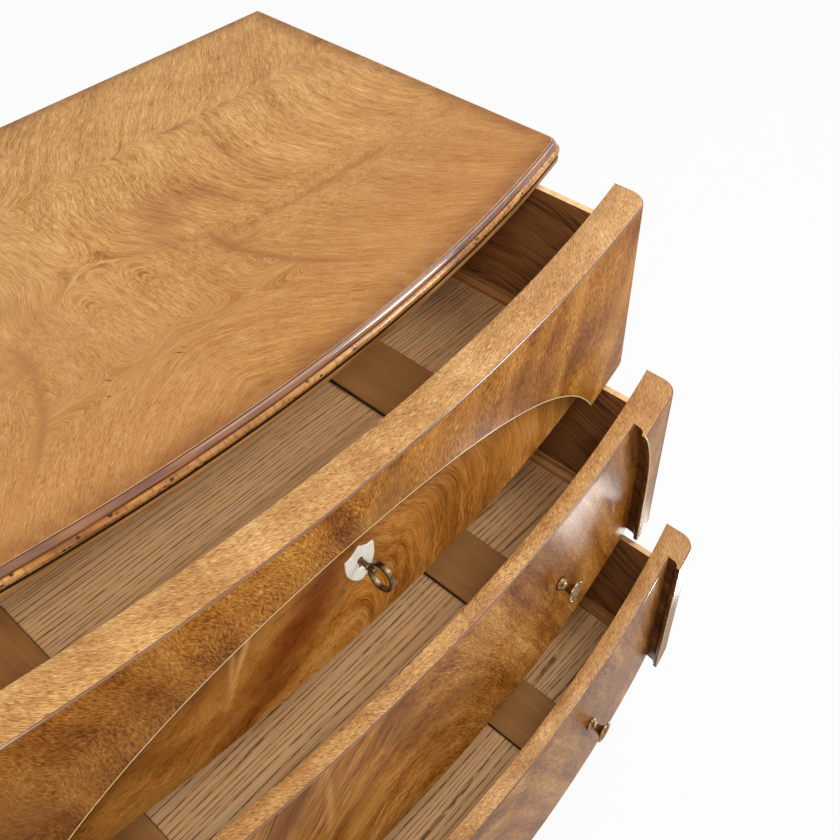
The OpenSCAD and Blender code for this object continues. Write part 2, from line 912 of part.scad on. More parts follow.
centred() drawer_front(front_z_middle, front_h_middle, open_middle)  // front_middle
        knob_bores(front_z_middle, front_h_middle);
centred() box_side(-1, front_z_middle, front_h_middle, open_middle);  // box_left_middle
centred() box_side(1, front_z_middle, front_h_middle, open_middle);  // box_right_middle
centred() box_back(front_z_middle, front_h_middle, open_middle);  // box_back_middle
centred() panels(front_z_middle, front_h_middle, open_middle);  // panels_middle
centred() muntins(front_z_middle, front_h_middle, open_middle);  // muntins_middle
centred() slips(front_z_middle, front_h_middle, open_middle);  // slips_middle

centred() drawer_front(front_z_bottom, front_h_bottom, open_bottom)  // front_bottom
        knob_bores(front_z_bottom, front_h_bottom);
centred() box_side(-1, front_z_bottom, front_h_bottom, open_bottom);  // box_left_bottom
centred() box_side(1, front_z_bottom, front_h_bottom, open_bottom);  // box_right_bottom
centred() box_back(front_z_bottom, front_h_bottom, open_bottom);  // box_back_bottom
centred() panels(front_z_bottom, front_h_bottom, open_bottom);  // panels_bottom
centred() muntins(front_z_bottom, front_h_bottom, open_bottom);  // muntins_bottom
centred() slips(front_z_bottom, front_h_bottom, open_bottom);  // slips_bottom

centred() knobs(front_z_middle, front_h_middle, open_middle);  // knobs_middle
centred() knobs(front_z_bottom, front_h_bottom, open_bottom);  // knobs_bottom
centred() knob_screws(front_z_middle, front_h_middle, open_middle);  // knob_screws_middle
centred() knob_screws(front_z_bottom, front_h_bottom, open_bottom);  // knob_screws_bottom
centred() shield();
centred() key();
centred() lock_case();
centred() lock_bolt();
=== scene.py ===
"""Looks for the bow-fronted nightstand: finer meshes for the top, the drawer fronts,
the knobs and the key, procedural veneers, oak, brass and bone, and a studio."""

import math
from bisect import bisect_right

import bpy
from mathutils import Matrix, Vector
from mathutils.geometry import tessellate_polygon


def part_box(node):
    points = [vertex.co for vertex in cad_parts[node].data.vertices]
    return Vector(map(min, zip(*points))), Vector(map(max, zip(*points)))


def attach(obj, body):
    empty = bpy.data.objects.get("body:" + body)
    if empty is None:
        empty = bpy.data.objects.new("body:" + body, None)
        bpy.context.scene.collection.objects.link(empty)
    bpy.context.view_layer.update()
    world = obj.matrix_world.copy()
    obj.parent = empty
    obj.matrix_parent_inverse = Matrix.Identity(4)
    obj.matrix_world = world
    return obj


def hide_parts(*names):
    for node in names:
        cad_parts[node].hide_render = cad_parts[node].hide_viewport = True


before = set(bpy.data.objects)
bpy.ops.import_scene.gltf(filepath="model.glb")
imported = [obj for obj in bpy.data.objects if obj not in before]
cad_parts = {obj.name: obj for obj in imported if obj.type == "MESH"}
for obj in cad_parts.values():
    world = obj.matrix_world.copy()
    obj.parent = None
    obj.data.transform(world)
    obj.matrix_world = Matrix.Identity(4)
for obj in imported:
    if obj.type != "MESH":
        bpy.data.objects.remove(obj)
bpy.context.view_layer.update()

MM = 0.001
# The back edge of the top, in the frame's y. Sizes below count y from it, as the part's source does.
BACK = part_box("top_board")[1][1]

# Sizes of the visible pieces, in millimetres
TOP_HALF_W = 352
TOP_FACE_Y = -414.4
TOP_BOW_R = 1341
TOP_CORNER_R = 16
TOP_T = 11.5
HEIGHT = 659.5

CLOSED_Y = -376
FRONT_HALF_W = 350.3
FRONT_T = 28.7
BACK_R = 1544
FACE_R = 1693
END_R = 18
RECESS_T = 14.7
RECESS_R = 1637
ARCH_HALF_W = 311
ARCH_RISE = 232
ARCH_DROP = 42.5
ARCH_POWER = 2.08
LIP_D = 4.3
HOLLOW_D = 5.3
HOLLOW_W = 5.6
FIELD_OUT = HOLLOW_W + 0.6
EDGE_ROUND = 1.1
REAR_ROUND = 0.6
SHIELD_T = 1.2

# For each drawer the lowest z and the height of its front, and how far it is open
DRAWERS = {"bottom": (117, 175, 188), "middle": (295, 174.5, 139), "top": (472.5, 167, 84)}
TOP_FRONT_Z, TOP_FRONT_H, TOP_OPEN = DRAWERS["top"]
SPRING_Z = TOP_FRONT_Z + TOP_FRONT_H - ARCH_DROP - ARCH_RISE
# How far down the top front the keyhole sits, as a share of its height
KEY_DOWN = 0.521
KEY_Z = TOP_FRONT_Z + TOP_FRONT_H * (1 - KEY_DOWN)
KNOB_X = 172

# Middle of a front's rounded right end, from the middle of its back, and where the end meets the face
END_X = FRONT_HALF_W - END_R
END_Y = FACE_R - FRONT_T - math.sqrt((FACE_R - END_R) ** 2 - END_X * END_X)
END_TURN = math.asin(END_X / (FACE_R - END_R))
# From here outwards a front's face shows end grain
END_GRAIN_X = FRONT_HALF_W - END_R * 0.75

# Kinds of surface, each the index of its material: on the top, then on the fronts
VENEER, QUIRK, THUMB, STEP, BEAD, PALE = range(6)
FACE, FIELD, COVE, LIP, UPPER, REAR, END, GLOSS, LINE = range(9)


def sag(r, x):
    return r - math.sqrt(r * r - x * x)


def drawer_span(which):
    """Lowest and highest z of a drawer's front, and the y of the middle of its back."""
    z, height, opened = DRAWERS[which]
    return z, z + height, CLOSED_Y - opened


# Meshes

def add_object(name, data):
    obj = bpy.data.objects.new(name, data)
    bpy.context.scene.collection.objects.link(obj)
    return obj


def mesh_object(name, points, faces, kinds, materials, smooth_deg=35):
    """A mesh object from points in millimetres, with a material index for each face."""
    mesh = bpy.data.meshes.new(name)
    mesh.from_pydata([(x * MM, y * MM + BACK, z * MM) for x, y, z in points], [], faces)
    for material in materials:
        mesh.materials.append(material)
    for polygon, kind in zip(mesh.polygons, kinds):
        polygon.material_index = kind
        polygon.use_smooth = True
    mesh.validate()
    mesh.update()
    mesh.set_sharp_from_angle(angle=math.radians(smooth_deg))
    return add_object(name, mesh)


def loft(rings, kinds_of, cap_kinds=None):
    """Joins closed rings of equal length. kinds_of(ring, place) gives each quad's kind, and
    cap_kinds those of the first and the last ring's caps, where there are any."""
    n = len(rings[0])
    points = [p for ring in rings for p in ring]
    faces, kinds = [], []
    for j in range(len(rings) - 1):
        for i in range(n):
            k = (i + 1) % n
            faces.append((j * n + i, j * n + k, (j + 1) * n + k, (j + 1) * n + i))
            kinds.append(kinds_of(j, i))
    if cap_kinds:
        faces.append(tuple(reversed(range(n))))
        faces.append(tuple((len(rings) - 1) * n + i for i in range(n)))
        kinds += cap_kinds
    return points, faces, kinds


def join(parts):
    """The points and faces of several parts as those of one."""
    points, faces = [], []
    for part_points, part_faces in parts:
        start = len(points)
        points += part_points
        faces += [tuple(start + i for i in face) for face in part_faces]
    return points, faces


def lathe(profile, segments=64):
    """Points and faces of a profile of (radius, distance) turned about local Z."""
    turns = [2 * math.pi * i / segments for i in range(segments)]
    rings = [[(r * math.cos(a), r * math.sin(a), d) for a in turns] for r, d in profile]
    points, faces, kinds = loft(rings, lambda j, i: 0, [0, 0])
    return points, faces


def top_outline(inset, bow_steps=96, corner_steps=14):
    """The outline of the top from above, drawn in by inset, from back right round to back left."""
    r = TOP_CORNER_R
    cx = TOP_HALF_W - r
    cy = TOP_FACE_Y + TOP_BOW_R - math.sqrt((TOP_BOW_R - r) ** 2 - cx * cx)
    turn = math.asin(cx / (TOP_BOW_R - r))
    right = []
    for i in range(corner_steps + 1):
        a = -i * (math.pi / 2 - turn) / corner_steps
        right.append((cx + (r - inset) * math.cos(a), cy + (r - inset) * math.sin(a)))
    front = []
    for i in range(1, bow_steps):
        a = turn - 2 * turn * i / bow_steps
        radius = TOP_BOW_R - inset
        front.append((radius * math.sin(a), TOP_FACE_Y + TOP_BOW_R - radius * math.cos(a)))
    left = [(-x, y) for x, y in reversed(right)]
    return [(TOP_HALF_W - inset, 0)] + right + front + left + [(-TOP_HALF_W + inset, 0)]


def top_profile():
    """The moulding of the top as (inset, depth below the top, kind of what comes next)."""
    stations = [(7, 0, PALE), (6.6, 0, QUIRK), (6.5, 0.5, QUIRK), (6.2, 0.8, QUIRK)]
    thumb_in, thumb_z, thumb_w, thumb_h, steps = 2.6, 0.8, 3.5, 4.2, 16
    for i in range(steps + 1):
        a = math.pi / 2 * (1 - i / steps)
        stations.append((
            thumb_in + thumb_w * (1 - math.cos(a)), thumb_z + thumb_h * (1 - math.sin(a)), THUMB))
    # A little step, then a bead
    stations += [(2.6, 5.2, STEP), (3, 5.3, STEP)]
    bead_w, bead_z, bead_h, first_deg, sweep_deg = 3.1, 8.3, 3, -84, 144
    for i in range(steps + 1):
        a = math.radians(first_deg + sweep_deg * i / steps)
        stations.append((bead_w * (1 - math.cos(a)), bead_z + bead_h * math.sin(a), BEAD))
    stations.append((1.7, TOP_T, BEAD))
    return stations


def build_top(materials):
    stations = top_profile()
    rings = [[(x, y, HEIGHT - depth) for x, y in top_outline(inset)] for inset, depth, kind in stations]
    back = len(rings[0]) - 1
    points, faces, kinds = loft(rings, lambda j, i: BEAD if i == back else stations[j][2], [VENEER, BEAD])
    faces = [tuple(reversed(face)) for face in faces]
    return mesh_object("top_moulded", points, faces, kinds, materials, 32)


def arch_curve(offset, steps=360):
    """The right half of the arch moved out by offset, as (x, z) from below its foot to its crown."""
    below_foot = 40
    samples = []
    for i in range(steps + 1):
        a = math.pi / 2 * i / steps
        x = ARCH_HALF_W * max(math.cos(a), 0) ** (2 / ARCH_POWER)
        z = SPRING_Z + ARCH_RISE * max(math.sin(a), 0) ** (2 / ARCH_POWER)
        samples.append((x, z))
    curve = [(ARCH_HALF_W + offset, DRAWERS["bottom"][0] - below_foot)]
    for i, (x, z) in enumerate(samples):
        x0, z0 = samples[max(i - 1, 0)]
        x1, z1 = samples[min(i + 1, steps)]
        if i == 0:
            nx, nz = 1, 0
        elif i == steps:
            nx, nz = 0, 1
        else:
            length = math.hypot(x1 - x0, z1 - z0)
            nx, nz = (z1 - z0) / length, -(x1 - x0) / length
        curve.append((x + nx * offset, z + nz * offset))
    return curve


def interpolate(pairs, value):
    """Second coordinate at value of the first, for pairs sorted by the first."""
    if value <= pairs[0][0]:
        return pairs[0][1]
    if value >= pairs[-1][0]:
        return pairs[-1][1]
    after = bisect_right(pairs, value, key=lambda pair: pair[0])
    a, b = pairs[after - 1], pairs[after]
    share = (value - a[0]) / max(b[0] - a[0], 1e-9)
    return a[1] + (b[1] - a[1]) * share


def moulding_profile():
    """The recess's edge from the face inwards: (how far under the lip, depth, kind)."""
    profile = [(1.7, 0, LINE), (1.1, 0, LIP), (0.15, 0, LIP), (0, 0.15, LIP)]
    profile += [(0, 0.9, COVE), (0, LIP_D, COVE)]
    steps = 10
    for i in range(1, steps + 1):
        a = math.pi / 2 * (1 - i / steps)
        profile.append((HOLLOW_W * math.cos(a), LIP_D + HOLLOW_D * (1 - math.sin(a)), COVE))
    return profile


# The moulding's lines along the arch, and the edge of the field, each also sorted by x and by z
PROFILE = moulding_profile()
CURVES = [arch_curve(out) for out, depth, kind in PROFILE]
FIELD_CURVE = arch_curve(FIELD_OUT)
CURVES_BY_X = [sorted(curve) for curve in CURVES]
FIELD_BY_X = sorted(FIELD_CURVE)
CURVES_BY_Z = [sorted((z, x) for x, z in curve) for curve in CURVES]
FIELD_BY_Z = sorted((z, x) for x, z in FIELD_CURVE)


def face_y(x):
    """The front's face at x from the middle of its back, rounded corners included."""
    x = abs(x)
    if x <= END_X * FACE_R / (FACE_R - END_R):
        return -FRONT_T + sag(FACE_R, x)
    return END_Y - math.sqrt(max(END_R ** 2 - (x - END_X) ** 2, 0))


def field_y(x):
    return -RECESS_T + sag(RECESS_R, x)


def end_arc(inset):
    """The rounded right end of a front seen from above, from the tip back to the face."""
    steps = 14
    arc = []
    for i in range(steps + 1):
        a = math.pi / 2 + (END_TURN - math.pi / 2) * i / steps
        arc.append((END_X + (END_R - inset) * math.sin(a), END_Y - (END_R - inset) * math.cos(a)))
    return arc


def front_columns():
    """Values of x for the upper front's sections, closest near the feet of the arch and the ends."""
    coarse, fine, fine_from = 5.2, 0.9, 262
    xs = {round(i * coarse, 3) for i in range(-60, 61)}
    for side in (-1, 1):
        xs |= {round(side * (fine_from + i * fine), 3) for i in range(60)}
        xs |= {round(side * x, 4) for x, y in end_arc(0)}
    return [x for x in sorted(xs) if abs(x) <= FRONT_HALF_W]


def upright_section(x, z0, z1):
    """The upper front cut across at x, as (y, z, kind of the surface that leaves the point)."""
    face, rear = face_y(x), sag(BACK_R, x)
    r, s = EDGE_ROUND, REAR_ROUND
    section = [
        (rear, z0, REAR), (rear, z1 - s, UPPER), (rear - s * 0.3, z1 - s * 0.3, UPPER),
        (rear - s, z1, UPPER), (face + r, z1, LINE), (face + r * 0.5, z1 - r * 0.13, GLOSS),
        (face + r * 0.13, z1 - r * 0.5, GLOSS), (face, z1 - r, FACE)]
    for curve, (out, depth, kind) in zip(CURVES_BY_X, PROFILE):
        z = interpolate(curve, abs(x)) if abs(x) < ARCH_HALF_W + out else z0
        section.append((face + depth, max(z0, z), kind))
    z = interpolate(FIELD_BY_X, abs(x)) if abs(x) < ARCH_HALF_W + FIELD_OUT else z0
    deep = max(field_y(x), face + PROFILE[-1][1])
    return section + [(deep, max(z0, z), FIELD), (deep, z0, UPPER)]


def build_front_top(materials):
    """The upper front: upright sections set side by side along x."""
    z0, z1, front_y = drawer_span("top")
    columns = front_columns()
    sections = [upright_section(x, z0, z1) for x in columns]
    rings = [[(x, front_y + y, z) for y, z, kind in section] for x, section in zip(columns, sections)]

    def kind_of(j, i):
        outer = abs(columns[j] + columns[j + 1]) / 2 > END_GRAIN_X
        kind = sections[j][i][2]
        return END if outer and kind == FACE else kind

    points, faces, kinds = loft(rings, kind_of, [END, END])
    return mesh_object("front_figured_top", points, faces, kinds, materials)


def between(start, stop, steps):
    """The places that divide start to stop into steps, without its two ends."""
    return [start + (stop - start) * i / steps for i in range(1, steps)]


def plan_outline(z, inset=0):
    """The middle or lower front cut level at z, as (x, y, kind of the surface that leaves the point).

    inset draws the outer faces in, for the rounded upper edge."""
    side = FRONT_HALF_W - inset
    right = [(side, sag(BACK_R, side) - inset * 0.5, END)]
    right += [(x, y, END if x > END_GRAIN_X else FACE) for x, y in end_arc(inset)]
    for x in between(right[-1][0], interpolate(CURVES_BY_Z[0], z), 12):
        right.append((x, face_y(x) + inset, FACE))
    for curve, (out, depth, kind) in zip(CURVES_BY_Z, PROFILE):
        x = interpolate(curve, z)
        right.append((x, face_y(x) + max(depth, inset), kind))
    x = interpolate(FIELD_BY_Z, z)
    right.append((x, field_y(x) + inset, FIELD))
    recess = [(t, field_y(t) + inset, FIELD) for t in between(x, -x, 80)]
    # Seen the other way round, each kind moves by one place
    left_kinds = [kind for x, y, kind in reversed(right)][1:] + [REAR]
    left = [(-x, y, kind) for (x, y, _), kind in zip(reversed(right), left_kinds)]
    back = [(t, sag(BACK_R, t) - inset * 0.5, REAR) for t in between(-side, side, 60)]
    return right + recess + left + back


def build_front_plan(name, which, materials):
    """The middle or the lower front: level outlines set on top of each other."""
    z0, z1, front_y = drawer_span(which)
    r, lower_round, count = EDGE_ROUND, 0.35, 30
    levels = [(z0, lower_round), (z0 + lower_round, 0)]
    levels += [(z, 0) for z in between(z0, z1, count)]
    levels += [(z1 - r, 0), (z1 - r * 0.5, r * 0.13), (z1 - r * 0.13, r * 0.5), (z1, r)]
    outlines = [plan_outline(z, inset) for z, inset in levels]
    rings = [
        [(x, y + front_y, z) for x, y, kind in outline] for (z, inset), outline in zip(levels, outlines)]
    round_ring = len(levels) - 4

    def kind_of(j, i):
        kind = outlines[j][i][2]
        if j < round_ring or kind in (COVE, LIP, LINE):
            return kind
        if kind == REAR:
            return UPPER
        return LINE if j == round_ring + 2 else GLOSS

    points, faces, kinds = loft(rings, kind_of)
    # The lower and the upper side, in triangles that all face outwards
    for ring, upward in ((0, False), (len(rings) - 1, True)):
        start = ring * len(rings[0])
        for triangle in tessellate_polygon([[Vector(p) for p in rings[ring]]]):
            a, b, c = (rings[ring][k] for k in triangle)
            turn = (b[0] - a[0]) * (c[1] - a[1]) - (b[1] - a[1]) * (c[0] - a[0])
            order = triangle if (turn > 0) != upward else tuple(reversed(triangle))
            faces.append(tuple(start + k for k in order))
            kinds.append(UPPER)
    faces = [tuple(reversed(face)) for face in faces]
    return mesh_object(name, points, faces, kinds, materials)


def knob_profile():
    """A knob's outline from the wood outwards: foot, waist, flare, rim and dished face."""
    foot, neck, head, length, rim, foot_l, foot_rim = 6.4, 3.6, 10.3, 16, 1.4, 6.4, 1.4
    profile = [(foot - 0.3, 0.05), (foot - 0.05, 0.35), (foot, 0.6), (foot, foot_rim)]
    steps = 12
    for i in range(1, steps + 1):
        s = i / steps
        waist = neck + (foot - neck) * (1 + math.cos(math.pi * s)) / 2
        profile.append((waist, foot_rim + (foot_l - foot_rim) * s))
    flare_l = length - rim - foot_l
    steps = 14
    for i in range(1, steps + 1):
        a = math.pi / 2 * i / steps
        profile.append((neck + (head - neck) * (1 - math.cos(a)), foot_l + flare_l * math.sin(a)))
    # The rim and the dish, as (in from the rim, down from the end)
    dish = [(0, 0.75), (0.25, 0.3), (0.7, 0.05), (1.1, 0), (1.5, 0.1), (1.9, 0.45)]
    dish += [(2.4, 1.2), (3.2, 1.8), (5.1, 2.3), (7.3, 2.6), (9.7, 2.7)]
    return profile + [(head - inwards, length - down) for inwards, down in dish]


def build_knobs(name, which, material):
    """The two knobs of a drawer, each square to the bowed field."""
    z0, z1, front_y = drawer_span(which)
    tilt = math.asin(KNOB_X / RECESS_R)
    points, faces = lathe(knob_profile())
    knobs = []
    for side in (-1, 1):
        turn = Matrix.Rotation(side * tilt, 4, "Z") @ Matrix.Rotation(math.pi / 2, 4, "X")
        seat = Vector((side * KNOB_X, front_y + field_y(KNOB_X), (z0 + z1) / 2))
        knobs.append(([tuple(seat + turn @ Vector(p)) for p in points], faces))
    points, faces = join(knobs)
    return mesh_object(name, points, faces, [0] * len(faces), [material], 50)


def key_shank(out, thick, tip):
    """The shank with its collar, along local Y: out of the shield to -out, in to tip."""
    shank, end = 2, out + thick + 2.5
    profile = [(shank - 0.4, -tip), (shank, -tip + 0.4), (shank, out - 2.6), (shank + 0.5, out - 2.5)]
    profile += [(shank + 0.8, out - 2.1), (shank + 0.8, out - 1.3), (shank + 0.5, out - 0.9)]
    profile += [(shank, out - 0.8), (shank, end - 0.7), (shank - 0.3, end - 0.2), (shank - 1, end)]
    points, faces = lathe(profile, 40)
    upright = Matrix.Rotation(math.pi / 2, 4, "X")
    return [upright @ Vector(p) for p in points], faces


def key_ring(out, thick):
    """The ring: its section goes round the ring's centre in the plane x = 0."""
    radius, band, e, steps = 10.9, 4.3, 0.45, 96
    half = band / 2
    section = [(0, -half + e), (0.08, -half + 0.15), (0.3, -half), (thick - e, -half)]
    section += [(thick - 0.15, -half + 0.12), (thick, -half + e)]
    section += [(r, -w) for r, w in reversed(section)]
    centre_y = -out - radius + thick / 2
    m = len(section)
    points, faces = [], []
    for i in range(steps):
        a = 2 * math.pi * i / steps
        here, there = i * m, (i + 1) % steps * m
        for j, (r, w) in enumerate(section):
            reach = radius - thick + r
            points.append(Vector((w, centre_y + reach * math.cos(a), reach * math.sin(a))))
            k = (j + 1) % m
            faces.append((here + j, here + k, there + k, there + j))
    return points, faces


def key_bit(tip):
    """The bit: a flat block under the shank, near its tip."""
    half_t, drop, y0, y1 = 1, 8, tip - 6, tip - 1
    points = [Vector((x, y, z)) for x in (-half_t, half_t) for y in (y0, y1) for z in (-drop, 0)]
    faces = [(0, 1, 3, 2), (4, 6, 7, 5), (0, 4, 5, 1), (2, 3, 7, 6), (0, 2, 6, 4), (1, 5, 7, 3)]
    return points, faces


def build_key(material):
    """The key: a turned shank with a collar, a flat-banded ring and a bit."""
    out, thick, reach, lean_deg = 9.2, 2, 9.5, 7
    front_y = CLOSED_Y - TOP_OPEN
    tip = RECESS_T + SHIELD_T + reach
    points, faces = join([key_shank(out, thick, tip), key_ring(out, thick), key_bit(tip)])
    turn = Matrix.Rotation(math.radians(lean_deg), 4, "Y")
    seat = Vector((0, front_y - RECESS_T - SHIELD_T, KEY_Z))
    placed = [tuple(seat + turn @ p) for p in points]
    return mesh_object("key_turned", placed, faces, [0] * len(faces), [material], 40)


# Material nodes

def lin(r, g, b):
    """A colour written in 0 to 255 as the screen shows it, for a shader."""
    def one(c):
        c /= 255
        return c / 12.92 if c <= 0.04045 else ((c + 0.055) / 1.055) ** 2.4
    return (one(r), one(g), one(b), 1)


class Value:
    """A socket that can be added, multiplied and so on, each time by a node of its own.

    It comes first in a sum or a product."""

    def __init__(self, book, socket):
        self.book = book
        self.socket = socket

    def __add__(self, other):
        return self.book.math("ADD", self, other)

    def __sub__(self, other):
        return self.book.math("SUBTRACT", self, other)

    def __rsub__(self, other):
        return self.book.math("SUBTRACT", other, self)

    def __mul__(self, other):
        return self.book.math("MULTIPLY", self, other)

    def __truediv__(self, other):
        return self.book.math("DIVIDE", self, other)

    def __neg__(self):
        return self.book.math("MULTIPLY", self, -1)

    def power(self, exponent):
        return self.book.math("POWER", self, exponent)

    def absolute(self):
        return self.book.math("ABSOLUTE", self, 0)


class Book:
    """A material's node tree, with a short call for each kind of node, and its colour so far.

    x, y and z are the place on the piece in the shared frame, in metres."""

    def __init__(self, name):
        self.material = bpy.data.materials.new(name)
        self.material.use_nodes = True
        self.tree = self.material.node_tree
        self.shader = self.tree.nodes["Principled BSDF"]
        self.colour = None
        self.x, self.y, self.z = self.split("TexCoord", "Object")
        self.nx, self.nz = self.split("NewGeometry", "Normal")[::2]

    def node(self, kind, **values):
        """A new node with inputs linked or set, written with _ where their names have a space."""
        node = self.tree.nodes.new("ShaderNode" + kind)
        for name, value in values.items():
            self.put(value, node.inputs[name.replace("_", " ")])
        return node

    def put(self, value, socket):
        """Links an input or sets it. A tuple is a colour."""
        if isinstance(value, Value):
            self.tree.links.new(value.socket, socket)
        else:
            socket.default_value = lin(*value) if isinstance(value, tuple) else value

    def split(self, kind, output):
        """The three parts of a node's vector."""
        node = self.node("SeparateXYZ", Vector=Value(self, self.node(kind).outputs[output]))
        return [Value(self, part) for part in node.outputs]

    def math(self, operation, a, b=0):
        node = self.node("Math")
        node.operation = operation
        self.put(a, node.inputs[0])
        self.put(b, node.inputs[1])
        return Value(self, node.outputs[0])

    def vector(self, x, y, z):
        return Value(self, self.node("CombineXYZ", X=x, Y=y, Z=z).outputs[0])

    def noise(self, x, y, z, scale=1, detail=2, roughness=0.5):
        node = self.node(
            "TexNoise", Vector=self.vector(x, y, z), Scale=scale, Detail=detail, Roughness=roughness)
        return Value(self, node.outputs["Fac"])

    def cells(self, x, y, z, scale):
        """Random cells: the distance from the nearest centre, and a random number for each cell."""
        node = self.node("TexVoronoi", Vector=self.vector(x, y, z), Scale=scale)
        draw = self.node("SeparateColor", Color=Value(self, node.outputs["Color"]))
        return Value(self, node.outputs["Distance"]), Value(self, draw.outputs[0])

    def smooth(self, value, low, high, out_low=0, out_high=1):
        node = self.node(
            "MapRange", Value=value, From_Min=low, From_Max=high, To_Min=out_low, To_Max=out_high)
        node.interpolation_type = "SMOOTHSTEP"
        return Value(self, node.outputs["Result"])

    def ramp(self, value, stops):
        """A colour that runs through stops: (place, colour), or colours spread evenly from 0 to 1."""
        if len(stops[0]) == 3:
            stops = [(i / (len(stops) - 1), colour) for i, colour in enumerate(stops)]
        node = self.node("ValToRGB", Fac=value)
        elements = node.color_ramp.elements
        while len(elements) < len(stops):
            elements.new(0.5)
        for element, (position, colour) in zip(elements, stops):
            element.position = position
            element.color = lin(*colour)
        return Value(self, node.outputs["Color"])

    def paint(self, share, colour, mode="MIX"):
        """Lays a colour over the one so far."""
        node = self.node("Mix")
        node.data_type = "RGBA"
        node.blend_type = mode
        for value, place in ((share, 0), (self.colour, 6), (colour, 7)):
            self.put(value, node.inputs[place])
        self.colour = Value(self, node.outputs[2])

    def bump(self, height, strength, distance):
        node = self.node("Bump", Strength=strength, Distance=distance, Height=height)
        self.tree.links.new(node.outputs[0], self.shader.inputs["Normal"])

    def finish(self, roughness, specular=0.5, metallic=0, coat=0, coat_ior=1.9):
        values = {
            "Base Color": self.colour, "Roughness": roughness, "Specular IOR Level": specular,
            "Metallic": metallic, "Coat Weight": coat, "Coat Roughness": 0.07, "Coat IOR": coat_ior}
        for name, value in values.items():
            self.put(value, self.shader.inputs[name])
        return self.material


def specks(b, u, v, scale, size, share, seed=0):
    """Small dark dents that lie here and there: 1 in a dent, 0 between them."""
    distance, draw = b.cells(u, v, seed, scale)
    chosen = b.smooth(draw, 1 - share, 1 - share + 0.02)
    return b.smooth(distance, size, size * 0.4) * chosen


def warp(b, u, v, scale, amount, seed):
    """A slow wander that bends the figure. u and v in metres, the rest in millimetres."""
    return (b.noise(u, v, seed, scale) - 0.5) * amount


def bell(b, distance, width):
    """1 where distance is 0, falling off smoothly over width."""
    return b.math("EXPONENT", -(distance / width).power(2))


def figured(b, phi, along, stops, seed, broad, lines, fine, dark, pores, curl):
    """Paints a figured veneer whose lines follow the contours of phi, and returns its grain.

    phi and along are in millimetres, along running roughly with the lines. broad, lines and
    fine say how strong bands of about 30 mm, 5 mm and 1 mm are. curl breaks them up."""
    wide = b.noise(phi * 0.034, along * 0.005, seed)
    middle = b.noise(phi * 0.20, along * (0.011 * curl), seed + 3, 1, 2, 0.55)
    thin = b.noise(phi * 0.85, along * (0.045 * curl), seed + 5, 1, 3, 0.65)
    sheen = b.noise(along * 0.026, phi * 0.016, seed + 9)
    tone = (wide - 0.5) * (broad * 2) + (middle - 0.5) * (lines * 2) + (thin - 0.5) * (fine * 2)
    tone = tone + (sheen - 0.5) * (broad * 1.2) + 0.5
    b.colour = b.ramp(tone, stops)
    dashes = b.noise(phi * 1.5, along * 0.26, seed + 7, 1, 1)
    dashes = b.smooth(dashes, 0.56, 0.74)
    b.paint(dashes * pores, dark)
    return thin, dashes


# The top's figure: its two spines as distances from the back edge, and a knot and a swirl as
# places (distance from the seam, distance from the back edge), in millimetres
SPINE_BACK = -113
SPINE_FRONT = -267
KNOT = (97, SPINE_FRONT)
SWIRL = (84, -214)


def from_spine(v, spine, bend):
    return (v - spine + bend * 0.16).absolute()


def from_point(b, u, v, point):
    return b.math("SQRT", (u - point[0]).power(2) + (v - point[1]).power(2))


def top_figure(b, u, v):
    """Contours of the top's figure. u is the distance from the seam, v that from the back, in mm."""
    mu, mv = b.x.absolute(), b.y
    bend = warp(b, mu, mv, 5, 40, 2) + warp(b, mu, mv, 16, 5, 5)
    above = b.math("MAXIMUM", v - SPINE_BACK, 0)
    middle = b.math("MAXIMUM", -v + SPINE_BACK, 0)
    middle = b.math("MINIMUM", middle, SPINE_BACK - SPINE_FRONT) - 70
    below = b.math("MAXIMUM", -v + SPINE_FRONT, 0)
    lean = above * 0.9 + middle * middle * 0.0045 + below * 0.30 + below * below * 0.0040
    phi = u - lean + bend
    for spine, pull in ((SPINE_BACK, 9), (SPINE_FRONT, 8)):
        phi = phi + b.math("EXPONENT", from_spine(v, spine, bend) * -0.16) * pull
    # Nested arches beside the seam, and under them lines that leave the seam at a slant
    du, dv = u - 22, (v + 254) * 0.62
    rise = (dv + b.math("SQRT", dv * dv + 144)) * 0.5
    arches = b.math("SQRT", du * du + rise * rise) + bend * 0.5
    slant = -v - u * 0.35 - u * u * 0.0025 - 271 + bend * 0.3
    inner = arches + (slant - arches) * b.smooth(v, -308, -336)
    side = u - (below * 0.12 + below * below * 0.0048 + 84) + bend * 0.25
    inside = b.smooth(side, 7, -7) * b.smooth(v, -185, -240)
    phi = phi + (inner - phi) * inside
    knot = from_point(b, u, v, KNOT)
    phi = phi + bell(b, knot, 13) * 20
    along = v * 0.8 - u * (b.smooth(v, -230, -300) * 1.2 - 0.6)
    return phi, along, bend, side, knot


def top_ticks(b, phi, along, v):
    """Short pale and dark ticks, thickest at the front left."""
    ticks = b.noise(phi * 0.9, along * 0.20, 31, 1, 2, 0.6)
    share = b.smooth(v, -200, -340) * b.smooth(b.x * 1000, 60, -120) * 0.65 + 0.35
    b.paint(b.smooth(ticks, 0.54, 0.70) * share, (126, 80, 38))
    b.paint(b.smooth(ticks, 0.46, 0.30) * share * 0.8, (240, 196, 138))


